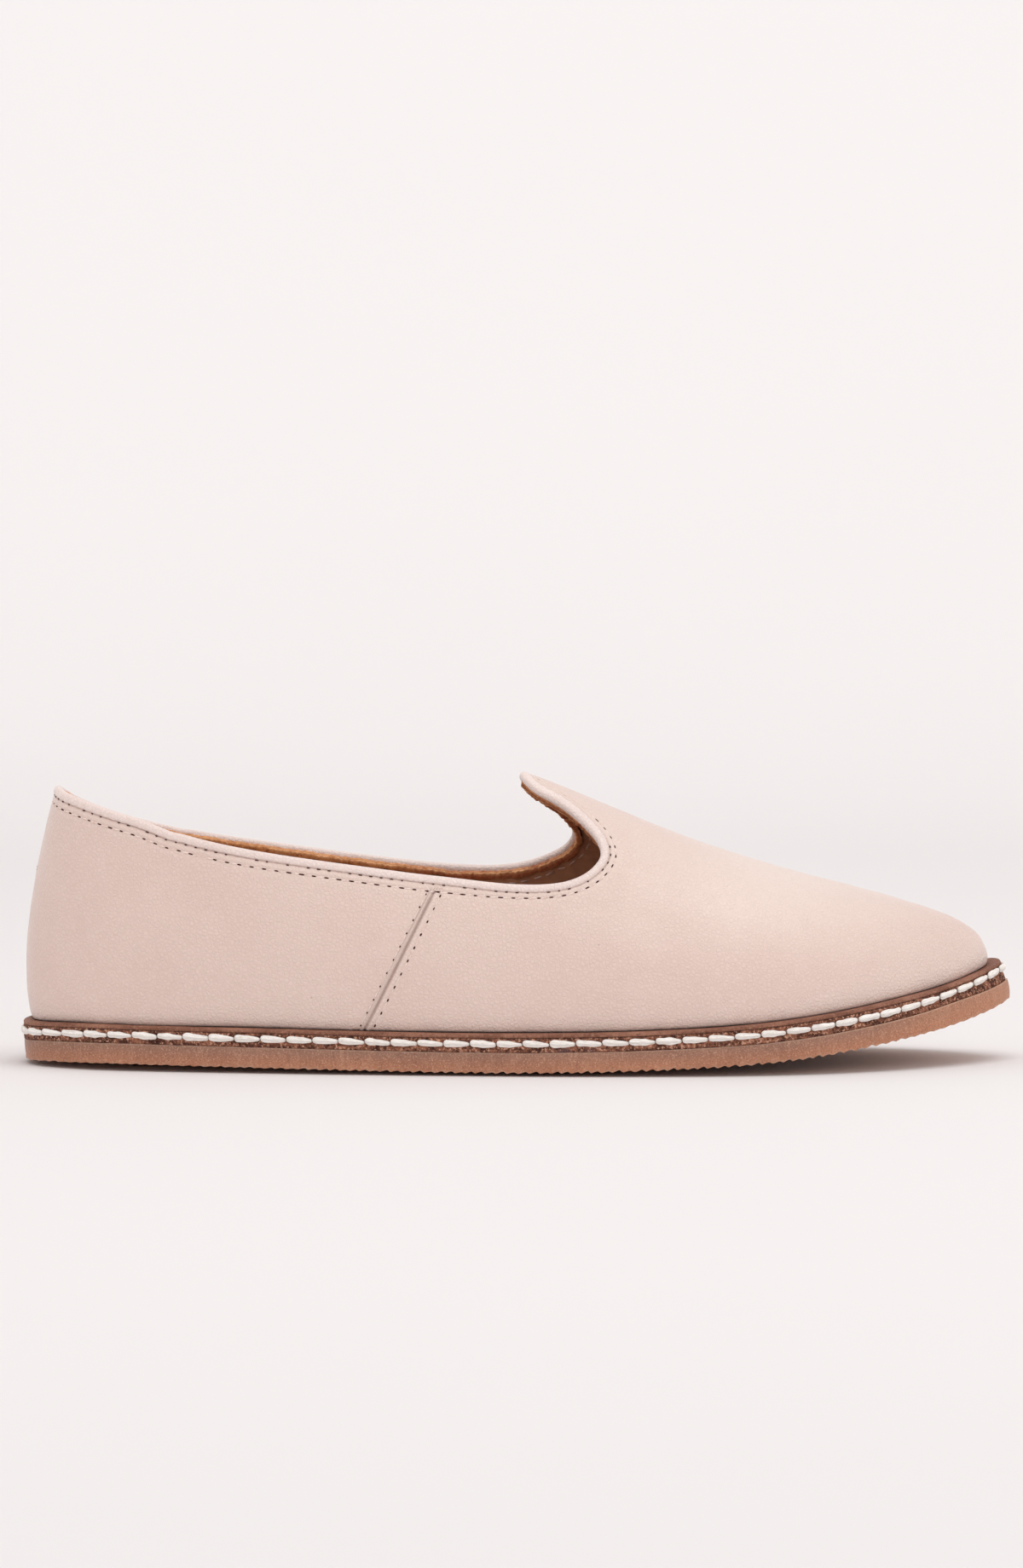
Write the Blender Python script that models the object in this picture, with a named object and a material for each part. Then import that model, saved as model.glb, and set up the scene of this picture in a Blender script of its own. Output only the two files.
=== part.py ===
"""Slip-on shoe for the right foot, standing empty on its sole.

+X points to the toe, -Y to the outer side of the foot, +Y to the inner side,
+Z up.  The origin is on the floor under the middle of the shoe.  Sizes in the
tables are millimetres, measured from the back of the heel along the sole.
"""
import math

import bmesh
import bpy
import numpy as np

MM = 0.001

# ------------------------------------------------------------ driving sizes
SOLE_LENGTH = 269.0        # outsole, heel to toe
CENTRE_Y = 1.075            # moves the sole's mid-width onto y = 0
RUBBER = 5.45              # outsole thickness at the edge
GAP = 0.3                  # clearance between neighbouring pieces
WALL = 2.0                 # upper leather with its lining
BIND_TALL = 3.0            # rolled collar edge, along the wall
BIND_WIDE = 3.4            # rolled collar edge, across the wall
INSOLE = 2.4               # sock thickness
HEEL_PIVOT = 40.0          # centre of the fan of sections round the heel
HEEL_STEP = 0.58           # length of collar per degree round the heel
QUARTER_END = 104.0        # the collar's quarters are one even curve to here
TAB_TIP = 135.2            # rear end of the instep tab
SIDE_SEAM_FOOT = 94.2      # side seam where it meets the welt
SIDE_SEAM_HEAD = 112.9     # side seam where it meets the collar
NOTCH_FOOT = 174.0         # point of the welt that lies under the notch
TREAD_FLAT_END = 172.0     # the sole lies flat from the heel to here
TREAD_ROUND = 7.0          # rounded border of the tread
TOE_CROWN = 0.35           # how far the tread swells below its rim at the toe

COLUMNS = 48               # sections on each side of the shoe
ROWS = 13                  # rows from welt to collar


def table(columns, rows):
    """Columns of a table by name, each as an array over its rows."""
    data = np.array(rows, dtype=float)
    return {name: data[:, i] for i, name in enumerate(columns.split())}


# sole outline (half-widths to each side), rim of the tread, top of the welt
SOLE = table("x outer inner rim welt", [
    (0.0, 0.0, 0.0, 0.7, 11.6),
    (2.0, 11.0, 10.4, 1.0, 11.7),
    (11.0, 21.0, 20.6, 1.5, 12.1),
    (23.0, 27.3, 26.8, 1.7, 12.2),
    (42.0, 32.2, 30.9, 1.6, 12.0),
    (65.0, 36.1, 31.6, 1.3, 11.8),
    (87.0, 39.3, 30.8, 1.0, 11.5),
    (110.0, 42.0, 30.9, 0.7, 11.2),
    (133.0, 44.2, 33.3, 0.6, 11.2),
    (155.0, 45.3, 37.7, 0.9, 11.5),
    (178.0, 45.1, 41.8, 1.7, 12.3),
    (200.0, 43.0, 43.3, 3.0, 13.8),
    (211.0, 40.5, 42.8, 4.1, 15.0),
    (224.0, 35.6, 40.8, 5.9, 16.9),
    (237.0, 28.4, 36.9, 8.1, 19.3),
    (248.0, 20.4, 32.0, 10.5, 21.8),
    (258.0, 11.0, 25.6, 13.3, 24.8),
    (265.0, 2.0, 18.9, 15.6, 27.3),
    (269.0, -9.0, 9.0, 17.1, 29.0),
])

# ridge of the last: height and sideways place; behind the tab it is the
# height that the quarters would close at if they went on over the foot
RIDGE = table("x z y", [
    (40.0, 122.0, 0.0),
    (52.0, 118.5, -0.8),
    (65.0, 109.0, -1.7),
    (87.0, 93.5, -3.2),
    (110.0, 84.0, -4.6),
    (125.0, 80.8, -5.0),
    (137.4, 78.4, -5.0),
    (146.6, 75.1, -4.5),
    (155.9, 71.2, -3.7),
    (169.8, 65.2, -2.3),
    (188.4, 58.2, -0.2),
    (207.0, 52.4, 2.1),
    (225.5, 47.4, 4.5),
    (244.0, 42.1, 6.9),
    (253.4, 38.6, 8.0),
    (258.0, 35.8, 8.5),
    (260.3, 33.4, 8.8),
    (261.5, 31.0, 8.9),
    (262.5, 26.6, 9.0),
])

# roundness of the cross-sections, and how far the wall swells over the welt
FULLNESS = table("x power bulge span", [
    (0.0, 2.00, 2.0, 62.0),
    (40.0, 2.00, 1.9, 56.0),
    (87.0, 1.98, 1.5, 44.0),
    (133.0, 1.90, 1.3, 36.0),
    (178.0, 1.88, 1.1, 30.0),
    (224.0, 2.00, 0.9, 22.0),
    (263.0, 2.10, 0.6, 12.0),
])

# collar round the heel: angle from the back seam, height on each side
COLLAR_HEEL = table("turn outer inner", [
    (0.0, 75.0, 75.0),
    (15.0, 74.5, 73.5),
    (30.0, 72.6, 70.6),
    (45.0, 70.5, 67.8),
    (60.0, 68.6, 65.6),
    (75.0, 66.8, 63.8),
])
# collar along the outer quarter, round the notch and up the tab
COLLAR_OUTER = table("x z", [
    (40.0, 64.4), (53.5, 61.0), (69.0, 58.2), (87.0, 55.7), (104.0, 53.5),
    (121.0, 51.6), (134.0, 50.4), (144.0, 50.6), (151.0, 52.4),
    (155.3, 55.5), (156.8, 58.4), (156.0, 61.4), (153.6, 64.7),
    (149.5, 68.7), (144.5, 72.2), (139.5, 75.0),
])
# the same along the inner quarter
COLLAR_INNER = table("x z", [
    (40.0, 62.3), (53.5, 60.1), (69.0, 58.0), (87.0, 55.7), (104.0, 53.7),
    (119.0, 52.4), (130.0, 52.3), (138.5, 53.8), (144.6, 56.3),
    (148.4, 59.2), (149.5, 61.9), (148.7, 64.8), (146.4, 67.9),
    (143.0, 70.8), (139.3, 73.4),
])
# inset of each ring of the sole from the outline, at heel, side and toe
EDGE = {
    "tread": (1.2, 0.8, 0.9),
    "rubber_low": (0.6, 0.1, 0.0),
    "rubber_top": (0.2, 0.0, 0.6),
    "leather_low": (0.2, 0.0, 1.2),
    "leather_high": (0.0, 0.0, 2.5),
    "leather_top": (0.8, 0.9, 3.3),
    "feather": (2.7, 3.3, 6.5),
    "insole": (5.0, 6.2, 12.0),
}


# ------------------------------------------------------------------ curves
class Spline:
    """Smooth curve through given values; it may be closed with a period."""

    def __init__(self, t, y, period=None):
        t = np.asarray(t, float)
        y = np.asarray(y, float)
        if period:
            t = np.append(t, t[0] + period)
            y = np.append(y, y[:1], axis=0)
        n = len(t)
        h = np.diff(t)
        slope = (np.diff(y, axis=0).T / h).T
        a = np.zeros((n, n))
        r = np.zeros((n,) + y.shape[1:])
        for i in range(1, n - 1):
            a[i, i - 1:i + 2] = h[i - 1], 2 * (h[i - 1] + h[i]), h[i]
            r[i] = 6 * (slope[i] - slope[i - 1])
        if period:
            a[0, 0], a[0, 1], a[0, n - 2] = 2 * (h[0] + h[-1]), h[0], h[-1]
            r[0] = 6 * (slope[0] - slope[-1])
            a[-1, 0], a[-1, -1] = 1, -1
        else:
            a[0, 0] = a[-1, -1] = 1
        self.t, self.y, self.h, self.period = t, y, h, period
        self.m = np.linalg.solve(a, r)

    def __call__(self, x):
        x = np.asarray(x, float)
        if self.period:
            x = self.t[0] + np.mod(x - self.t[0], self.period)
        x = np.clip(x, self.t[0], self.t[-1])
        i = np.clip(np.searchsorted(self.t, x) - 1, 0, len(self.h) - 1)
        h = self.h[i]
        p = (self.t[i + 1] - x) / h
        q = (x - self.t[i]) / h
        if self.y.ndim > 1:
            h, p, q = h[..., None], p[..., None], q[..., None]
        return (p * self.y[i] + q * self.y[i + 1] + h * h / 6 *
                ((p ** 3 - p) * self.m[i] + (q ** 3 - q) * self.m[i + 1]))


def monotone(t, y, x):
    """Monotone smooth interpolation of a short rising table."""
    t, y = np.asarray(t, float), np.asarray(y, float)
    h, d = np.diff(t), np.diff(y) / np.diff(t)
    s = np.zeros(len(t))
    s[0], s[-1] = d[0], d[-1]
    for i in range(1, len(t) - 1):
        w1, w2 = 2 * h[i] + h[i - 1], h[i] + 2 * h[i - 1]
        s[i] = (w1 + w2) / (w1 / d[i - 1] + w2 / d[i])
    i = np.clip(np.searchsorted(t, x) - 1, 0, len(h) - 1)
    q = (x - t[i]) / h[i]
    return (y[i] * (1 + 2 * q) * (1 - q) ** 2 + y[i + 1] * q * q * (3 - 2 * q)
            + h[i] * (s[i] * q * (1 - q) ** 2 + s[i + 1] * q * q * (q - 1)))


def arc(points):
    """Running length along a polyline."""
    return np.append(0, np.cumsum(np.linalg.norm(np.diff(points, axis=0),
                                                 axis=1)))


def unit(v):
    return v / np.maximum(np.linalg.norm(v, axis=-1, keepdims=True), 1e-12)


# ------------------------------------------------------------ sole outline
def turn_of(x):
    """Outline parameter of a place along the sole: 0 heel, 1 toe."""
    return np.arccos(np.clip(1 - 2 * np.asarray(x) / SOLE_LENGTH, -1, 1)) / math.pi


_v = turn_of(SOLE["x"])
_outline_y = Spline(np.concatenate([_v, 2 - _v[-2:0:-1]]),
                    np.concatenate([-SOLE["outer"], SOLE["inner"][-2:0:-1]]),
                    period=2.0)
rim_z = Spline(SOLE["x"], SOLE["rim"])
welt_z = Spline(SOLE["x"], SOLE["welt"])


def outline(v):
    """Plan of the sole: v from 0 heel over the outer side to 1 toe and back."""
    return np.stack([SOLE_LENGTH * (1 - np.cos(math.pi * v)) / 2,
                     _outline_y(v)], axis=-1)


def outline_normal(v):
    """Away from the shoe, in plan."""
    d = unit(outline(v + 1e-4) - outline(v - 1e-4))
    return np.stack([d[..., 1], -d[..., 0]], axis=-1)


def inset(edge, x):
    heel, side, toe = EDGE[edge]
    k = np.clip((x - 4.0) / 40.0, 0, 1)
    m = np.clip((x - 190.0) / 68.0, 0, 1)
    k, m = k * k * (3 - 2 * k), m * m * (3 - 2 * m)
    return heel + (side - heel) * k + (toe - side) * m


def ring(edge, v, extra=0.0):
    """The sole outline drawn in by an edge's inset."""
    p = outline(v)
    return p - outline_normal(v) * (inset(edge, p[..., 0]) + extra)[..., None]


# --------------------------------------------------------------- the last
_dense = np.linspace(0, 2, 4001)
_feather = ring("feather", _dense)
_toe = int(np.argmax(_feather[:, 0]))
TIP_X = float(_feather[_toe, 0])
_reach = np.sqrt(np.maximum(RIDGE["x"][-1] - RIDGE["x"], 0))[::-1]
_ridge_z = Spline(_reach, RIDGE["z"][::-1])
_ridge_y = Spline(_reach, RIDGE["y"][::-1])
_power = Spline(FULLNESS["x"], FULLNESS["power"])
_bulge = Spline(FULLNESS["x"], FULLNESS["bulge"])
_span = Spline(FULLNESS["x"], FULLNESS["span"])
_back = np.arctan2(_feather[:, 1], HEEL_PIVOT - _feather[:, 0])
_radius = np.hypot(_feather[:, 1], HEEL_PIVOT - _feather[:, 0])
_order = np.argsort(_back)


def ridge(x):
    q = np.sqrt(np.maximum(TIP_X - x, 0)) * \
        math.sqrt((RIDGE["x"][-1] - HEEL_PIVOT) / (TIP_X - HEEL_PIVOT))
    return _ridge_y(q), _ridge_z(q)


def section(x, y):
    """Fraction of the half-width at a plan point, and its section's sizes."""
    x, y = np.asarray(x, float), np.asarray(y, float)
    ry, rz = ridge(np.maximum(x, HEEL_PIVOT))
    fo = np.interp(x, _feather[:_toe + 1, 0], _feather[:_toe + 1, 1])
    fi = np.interp(x, _feather[_toe:, 0][::-1], _feather[_toe:, 1][::-1])
    half = np.where(y < ry, ry - fo, fi - ry)
    front = np.abs(y - ry) / np.maximum(half, 1e-6)
    angle = np.arctan2(y, HEEL_PIVOT - x)
    rad = np.interp(angle, _back[_order], _radius[_order])
    heel = np.hypot(y, HEEL_PIVOT - x) / rad
    foot_x = np.where(x < HEEL_PIVOT, HEEL_PIVOT - rad * np.cos(angle), x)
    return (np.where(x < HEEL_PIVOT, heel, front), welt_z(foot_x) + GAP, rz,
            _power(np.maximum(x, HEEL_PIVOT)))


def last_z(x, y):
    """Height of the last over a plan point."""
    s, low, high, k = section(x, y)
    return low + (high - low) * np.maximum(1 - np.clip(s, 0, 1) ** k, 0) ** (1 / k)


def last_normal(x, y, e=0.02):
    gx = (last_z(x + e, y) - last_z(x - e, y)) / (2 * e)
    gy = (last_z(x, y + e) - last_z(x, y - e)) / (2 * e)
    return unit(np.stack([-gx, -gy, np.ones_like(gx)], axis=-1))


# ---------------------------------------------------------------- collar
def collar_points():
    """Points of the collar, from the back seam round by the outer side."""
    high = RIDGE["z"][0]
    runs, heights = [], []
    for name, rows in (("outer", COLLAR_OUTER), ("inner", COLLAR_INNER)):
        low_part = rows["x"] < QUARTER_END + 1.0
        runs.append(np.append(COLLAR_HEEL["turn"] * HEEL_STEP,
                              90 * HEEL_STEP + rows["x"][low_part] - HEEL_PIVOT))
        heights.append(np.append(COLLAR_HEEL[name], rows["z"][low_part]))
    height = Spline(np.concatenate([-runs[0][:0:-1], runs[1]]),
                    np.concatenate([heights[0][:0:-1], heights[1]]))
    sides = []
    for rows, sign in ((COLLAR_OUTER, -1), (COLLAR_INNER, 1)):
        pts = []
        for turn in np.arange(0.0, 88.0, 5.0):
            t = math.radians(turn) * sign
            z = float(height(sign * turn * HEEL_STEP))
            rad = np.interp(t, _back[_order], _radius[_order])
            low = welt_z(HEEL_PIVOT - rad * math.cos(t)) + GAP
            k = _power(HEEL_PIVOT)
            d = rad * (1 - ((z - low) / (high - low)) ** k) ** (1 / k)
            pts.append((HEEL_PIVOT - d * math.cos(t), d * math.sin(t)))
        along = [(x, float(height(sign * (90 * HEEL_STEP + x - HEEL_PIVOT))))
                 for x in np.arange(HEEL_PIVOT, QUARTER_END - 2.0, 4.0)]
        along += [(x, z) for x, z in zip(rows["x"], rows["z"]) if x >= QUARTER_END]
        for x, z in along:
            ry, rz = ridge(x)
            edge = _feather[:_toe + 1] if sign < 0 else _feather[_toe:][::-1]
            half = abs(np.interp(x, edge[:, 0], edge[:, 1]) - ry)
            low, k = welt_z(x) + GAP, _power(x)
            d = half * (1 - ((z - low) / (rz - low)) ** k) ** (1 / k)
            pts.append((x, float(ry) + sign * d))
        sides.append(pts)
    tip = (TAB_TIP, float(ridge(TAB_TIP)[0]))
    return np.array(sides[0] + [tip] + sides[1][:0:-1], float)


def collar_curve(count):
    """Closed collar line on the last: plan points, and the place of the tip."""
    p = collar_points()
    t = arc(np.vstack([p, p[:1]]))
    curve = Spline(t[:-1], p, period=t[-1])
    u = np.linspace(0, t[-1], count, endpoint=False)
    return curve(u)


def on_last(plan):
    return np.column_stack([plan, last_z(plan[:, 0], plan[:, 1])])


def collar_frame(c):
    """Along the collar, out of the wall, and down the wall, at each point."""
    along = unit(np.roll(c, -1, axis=0) - np.roll(c, 1, axis=0))
    out = last_normal(c[:, 0], c[:, 1])
    out = unit(out - along * np.sum(out * along, axis=1, keepdims=True))
    down = np.cross(along, out)
    return along, out, down * np.sign(-down[0, 2])


def spaced(curve, at):
    """Points of a dense polyline at given fractions of its length."""
    s = arc(curve)
    return np.column_stack([np.interp(at * s[-1], s, curve[:, i])
                            for i in range(curve.shape[1])])


def place(curve, x):
    """Fraction of a polyline's length at which it first passes x."""
    s = arc(curve)
    i = int(np.argmax(curve[:, 0] >= x))
    return s[i] / s[-1]


def lines(columns):
    """Matching points of welt line and collar line, round the shoe."""
    dense = on_last(collar_curve(4000))
    tip = int(np.argmin(np.hypot(dense[:, 0] - TAB_TIP,
                                 dense[:, 1] - ridge(TAB_TIP)[0])))
    welt = [_feather[:_toe + 1], _feather[_toe:][::-1]]
    top = [dense[:tip + 1], np.vstack([dense[tip:], dense[:1]])[::-1]]
    a = np.linspace(0, 1, columns + 1)
    foot, head = [], []
    for w, c in zip(welt, top):
        apex = arc(c)[int(np.argmax(c[:, 0]))] / arc(c)[-1]
        marks = [0, 0.43, 0.67, 1]
        fa = monotone(marks, [0, place(w, SIDE_SEAM_FOOT), place(w, NOTCH_FOOT), 1], a)
        ca = monotone(marks, [0, place(c, SIDE_SEAM_HEAD), apex, 1], a)
        foot.append(spaced(w, fa))
        head.append(spaced(c, ca))
    return (np.vstack([foot[0], foot[1][-2:0:-1]]),
            np.vstack([head[0], head[1][-2:0:-1]]))


def wall_grid(foot, head, rows):
    """Points of the upper's outside: rows from welt to collar, round the shoe."""
    n = len(foot)
    edge = np.roll(foot, -1, axis=0) - np.roll(foot, 1, axis=0)
    normal = unit(np.stack([edge[:, 1], -edge[:, 0]], axis=-1))
    normal *= np.sign(normal[n // 4, 1] * -1.0)
    t = np.linspace(0, 1, 240) ** 2
    grid = np.zeros((len(rows), n, 3))
    for i in range(n):
        plan = foot[i] + (head[i, :2] - foot[i]) * t[:, None]
        z = last_z(plan[:, 0], plan[:, 1])
        z[0] = welt_z(foot[i, 0]) + GAP
        line = np.column_stack([plan, z])
        s = arc(line)
        fx = foot[i, 0]
        swell = np.clip(s / min(float(_span(fx)), s[-1]), 0, 1)
        line[:, :2] += normal[i] * (float(_bulge(fx)) *
                                    np.sin(math.pi * swell ** 0.6))[:, None]
        s = arc(line)
        for j in range(3):
            grid[:, i, j] = np.interp(rows * s[-1], s, line[:, j])
    return grid, normal


def grid_normals(grid):
    along = np.roll(grid, -1, axis=1) - np.roll(grid, 1, axis=1)
    up = np.gradient(grid, axis=0)
    nrm = unit(np.cross(along, up))
    return nrm * np.sign(-nrm[len(grid) // 2, grid.shape[1] // 4, 1])


# ------------------------------------------------------------------ solids
def material(name, colour, roughness):
    m = bpy.data.materials.new(name)
    m.use_nodes = True
    b = m.node_tree.nodes["Principled BSDF"]
    b.inputs["Base Color"].default_value = (*colour, 1)
    b.inputs["Roughness"].default_value = roughness
    b.inputs["Metallic"].default_value = 0.0
    return m


def solid(name, rings, mat, tube):
    """A solid from closed rings of points: a tube, or a slab with two faces."""
    bm = bmesh.new()
    shift = np.array([SOLE_LENGTH / 2, -CENTRE_Y, 0.0])
    loops = [[bm.verts.new((p - shift) * MM) for p in r] for r in rings]
    n = len(loops[0])
    pairs = list(zip(loops, loops[1:] + loops[:1])) if tube else \
        list(zip(loops, loops[1:]))
    for lo, hi in pairs:
        for i in range(n):
            j = (i + 1) % n
            bm.faces.new((lo[i], lo[j], hi[j], hi[i]))
    if not tube:
        for loop in (loops[0], loops[-1]):
            half = n // 2
            for i in range(half):
                quad = [loop[i], loop[i + 1], loop[(n - i - 1) % n], loop[(n - i) % n]]
                bm.faces.new(list(dict.fromkeys(quad)))
    bmesh.ops.recalc_face_normals(bm, faces=bm.faces[:])
    bmesh.ops.triangulate(bm, faces=bm.faces[:])
    mesh = bpy.data.meshes.new(name)
    bm.to_mesh(mesh)
    bm.free()
    mesh.shade_smooth()
    mesh.set_sharp_from_angle(angle=math.radians(40))
    mesh.materials.append(mat)
    obj = bpy.data.objects.new(name, mesh)
    bpy.context.scene.collection.objects.link(obj)
    return obj


def tread_z(x, depth):
    """Underside of the rubber: flat on the floor, rounded up to its rim."""
    rise = np.clip(depth / TREAD_ROUND, 0, 1)
    rim = rim_z(x)
    k = np.clip((x - TREAD_FLAT_END) / 35.0, 0, 1)
    k = k * k * (3 - 2 * k)
    crown = rim_z(TREAD_FLAT_END) * (1 - k) + TOE_CROWN * k
    low = np.where(x <= TREAD_FLAT_END, 0.0, np.maximum(rim - crown, 0.0))
    return low + (rim - low) * (1 - rise) ** 2


def slab(v, levels):
    """Rings of a sole layer from (edge, extra inset, height function) rows."""
    rings = []
    for edge, extra, height in levels:
        p = ring(edge, v, extra)
        rings.append(np.column_stack([p, height(p[:, 0])]))
    return rings


def clear_scene():
    for obj in list(bpy.data.objects):
        bpy.data.objects.remove(obj, do_unlink=True)


def main():
    clear_scene()
    v = np.linspace(0, 2, 2 * COLUMNS, endpoint=False)

    # rubber outsole: tread face, rounded border, edge, top
    def tread_at(depth):
        return lambda x: tread_z(x, depth)

    rubber = slab(v, [
        ("tread", TREAD_ROUND, tread_at(TREAD_ROUND)),
        ("tread", 3.0, tread_at(3.0)),
        ("tread", 0.0, tread_at(0.0)),
        ("rubber_low", 0.0, lambda x: rim_z(x) + 1.1),
        ("rubber_top", 0.0, lambda x: rim_z(x) + RUBBER),
        ("rubber_top", 8.0, lambda x: rim_z(x) + RUBBER),
    ])
    solid("outsole", rubber, material("gum_rubber", (0.36, 0.17, 0.10), 0.45), False)

    # leather midsole, standing out round the upper as a welt
    leather = slab(v, [
        ("leather_low", 8.0, lambda x: rim_z(x) + RUBBER + GAP),
        ("leather_low", 0.0, lambda x: rim_z(x) + RUBBER + GAP),
        ("leather_high", 0.0, lambda x: welt_z(x) - 1.1),
        ("leather_top", 0.0, welt_z),
        ("leather_top", 9.0, welt_z),
    ])
    solid("midsole", leather, material("sole_leather", (0.22, 0.11, 0.08), 0.7), False)

    # hollow upper, open at the collar and underneath
    foot, collar = lines(COLUMNS)
    along, out, down = collar_frame(collar)
    head = on_last((collar + down * (BIND_TALL + 1.5 * GAP))[:, :2])
    rows = np.linspace(0, 1, ROWS) ** 1.4
    outside, side = wall_grid(foot, head, rows)
    normal = grid_normals(outside)
    normal[0] = np.column_stack([side, np.zeros(len(side))])
    inside = outside - normal * WALL
    floor = welt_z(inside[..., 0]) + GAP
    inside[..., 2] = np.maximum(inside[..., 2], floor)
    shell = list(outside) + list(inside[::-1])
    solid("upper", shell, material("pink_leather", (0.72, 0.53, 0.46), 0.45), True)

    # rolled binding along the collar and the tab
    ringed = []
    for k in range(10):
        t = 2 * math.pi * k / 10
        ringed.append(collar + down * (BIND_TALL / 2 * (1 - math.cos(t)))
                      + out * (-WALL / 2 + BIND_WIDE / 2 * math.sin(t)))
    solid("collar_binding", ringed, material("pink_binding", (0.72, 0.52, 0.45), 0.45), True)

    # sock inside
    sock = slab(v, [
        ("insole", 8.0, lambda x: welt_z(x) + GAP),
        ("insole", 0.0, lambda x: welt_z(x) + GAP),
        ("insole", 0.4, lambda x: welt_z(x) + GAP + INSOLE),
        ("insole", 8.0, lambda x: welt_z(x) + GAP + INSOLE),
    ])
    solid("insole", sock, material("sock_leather", (0.42, 0.26, 0.15), 0.7), False)


main()
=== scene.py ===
"""Looks of the slip-on shoe: leather, sewing, welt, rubber, light and camera."""
import math

import bpy
import numpy as np
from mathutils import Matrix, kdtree


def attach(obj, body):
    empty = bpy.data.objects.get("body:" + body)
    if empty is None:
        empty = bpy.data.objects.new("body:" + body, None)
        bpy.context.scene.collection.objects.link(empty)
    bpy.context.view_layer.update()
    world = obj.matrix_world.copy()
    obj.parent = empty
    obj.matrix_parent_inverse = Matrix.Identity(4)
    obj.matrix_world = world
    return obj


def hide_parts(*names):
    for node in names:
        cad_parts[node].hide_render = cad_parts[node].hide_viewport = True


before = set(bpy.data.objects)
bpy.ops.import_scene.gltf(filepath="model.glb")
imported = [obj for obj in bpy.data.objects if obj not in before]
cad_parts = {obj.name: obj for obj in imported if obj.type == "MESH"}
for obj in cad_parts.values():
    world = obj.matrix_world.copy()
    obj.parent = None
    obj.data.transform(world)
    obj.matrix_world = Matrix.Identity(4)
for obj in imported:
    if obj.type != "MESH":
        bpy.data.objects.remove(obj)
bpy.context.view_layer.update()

MM = 0.001

# ------------------------------------------------------------ driving sizes
SOLE_LENGTH = 269.0        # outsole, heel to toe
CENTRE_Y = 1.075            # moves the sole's mid-width onto y = 0
RUBBER = 5.45              # outsole thickness at the edge
GAP = 0.3                  # clearance between neighbouring pieces
WALL = 2.0                 # upper leather with its lining
BIND_TALL = 3.0            # rolled collar edge, along the wall
BIND_WIDE = 3.4            # rolled collar edge, across the wall
INSOLE = 2.4               # sock thickness
HEEL_PIVOT = 40.0          # centre of the fan of sections round the heel
HEEL_STEP = 0.58           # length of collar per degree round the heel
QUARTER_END = 104.0        # the collar's quarters are one even curve to here
TAB_TIP = 135.2            # rear end of the instep tab
SIDE_SEAM_FOOT = 93.4      # side seam where it meets the welt
SIDE_SEAM_HEAD = 113.4     # side seam where it meets the collar
NOTCH_FOOT = 174.0         # point of the welt that lies under the notch
TREAD_FLAT_END = 172.0     # the sole lies flat from the heel to here
TREAD_BORDER = 9.0         # border of the tread that stays off the floor
TOE_CROWN = 0.35           # how far the tread swells below its rim at the toe



def table(columns, rows):
    """Columns of a table by name, each as an array over its rows."""
    data = np.array(rows, dtype=float)
    return {name: data[:, i] for i, name in enumerate(columns.split())}


# sole outline (half-widths to each side), rim of the tread, top of the welt
SOLE = table("x outer inner rim welt", [
    (0.0, 0.0, 0.0, 0.7, 11.6),
    (2.0, 11.0, 10.4, 1.0, 11.7),
    (11.0, 21.0, 20.6, 1.5, 12.1),
    (23.0, 27.3, 26.8, 1.7, 12.2),
    (42.0, 32.2, 30.9, 1.6, 12.0),
    (65.0, 36.1, 31.6, 1.3, 11.8),
    (87.0, 39.3, 30.8, 1.0, 11.5),
    (110.0, 42.0, 30.9, 0.7, 11.2),
    (133.0, 44.2, 33.3, 0.6, 11.2),
    (155.0, 45.3, 37.7, 0.9, 11.5),
    (178.0, 45.1, 41.8, 1.7, 12.3),
    (200.0, 43.0, 43.3, 3.0, 13.8),
    (211.0, 40.5, 42.8, 4.1, 15.0),
    (224.0, 35.6, 40.8, 5.9, 16.8),
    (237.0, 28.4, 36.9, 8.1, 19.0),
    (248.0, 20.4, 32.0, 10.5, 21.1),
    (258.0, 11.0, 25.6, 13.3, 23.8),
    (265.0, 2.0, 18.9, 15.6, 26.0),
    (269.0, -9.0, 9.0, 17.1, 27.2),
])

# ridge of the last: height and sideways place; behind the tab it is the
# height that the quarters would close at if they went on over the foot
RIDGE = table("x z y", [
    (40.0, 122.0, 0.0),
    (52.0, 118.5, -0.8),
    (65.0, 109.0, -1.7),
    (87.0, 93.5, -3.2),
    (110.0, 84.0, -4.6),
    (125.0, 80.8, -5.0),
    (137.4, 78.4, -5.0),
    (146.6, 75.1, -4.5),
    (155.9, 71.2, -3.7),
    (169.8, 65.2, -2.3),
    (188.4, 58.2, -0.2),
    (207.0, 52.4, 2.1),
    (225.5, 47.4, 4.5),
    (244.0, 42.1, 6.9),
    (253.4, 38.6, 8.0),
    (258.0, 35.8, 8.5),
    (260.3, 33.4, 8.8),
    (261.5, 31.0, 8.9),
    (262.5, 26.6, 9.0),
])

# roundness of the cross-sections, and how far the wall swells over the welt
FULLNESS = table("x power bulge span", [
    (0.0, 2.00, 2.0, 62.0),
    (40.0, 2.08, 1.9, 56.0),
    (87.0, 1.98, 1.5, 44.0),
    (133.0, 1.90, 1.3, 36.0),
    (178.0, 1.88, 1.1, 30.0),
    (224.0, 2.00, 0.9, 22.0),
    (263.0, 2.10, 0.6, 12.0),
])

# collar round the heel: angle from the back seam, height on each side
COLLAR_HEEL = table("turn outer inner", [
    (0.0, 75.0, 75.0),
    (15.0, 74.5, 73.5),
    (30.0, 72.6, 70.6),
    (45.0, 70.5, 67.8),
    (60.0, 68.6, 65.6),
    (75.0, 66.8, 63.8),
])
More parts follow.
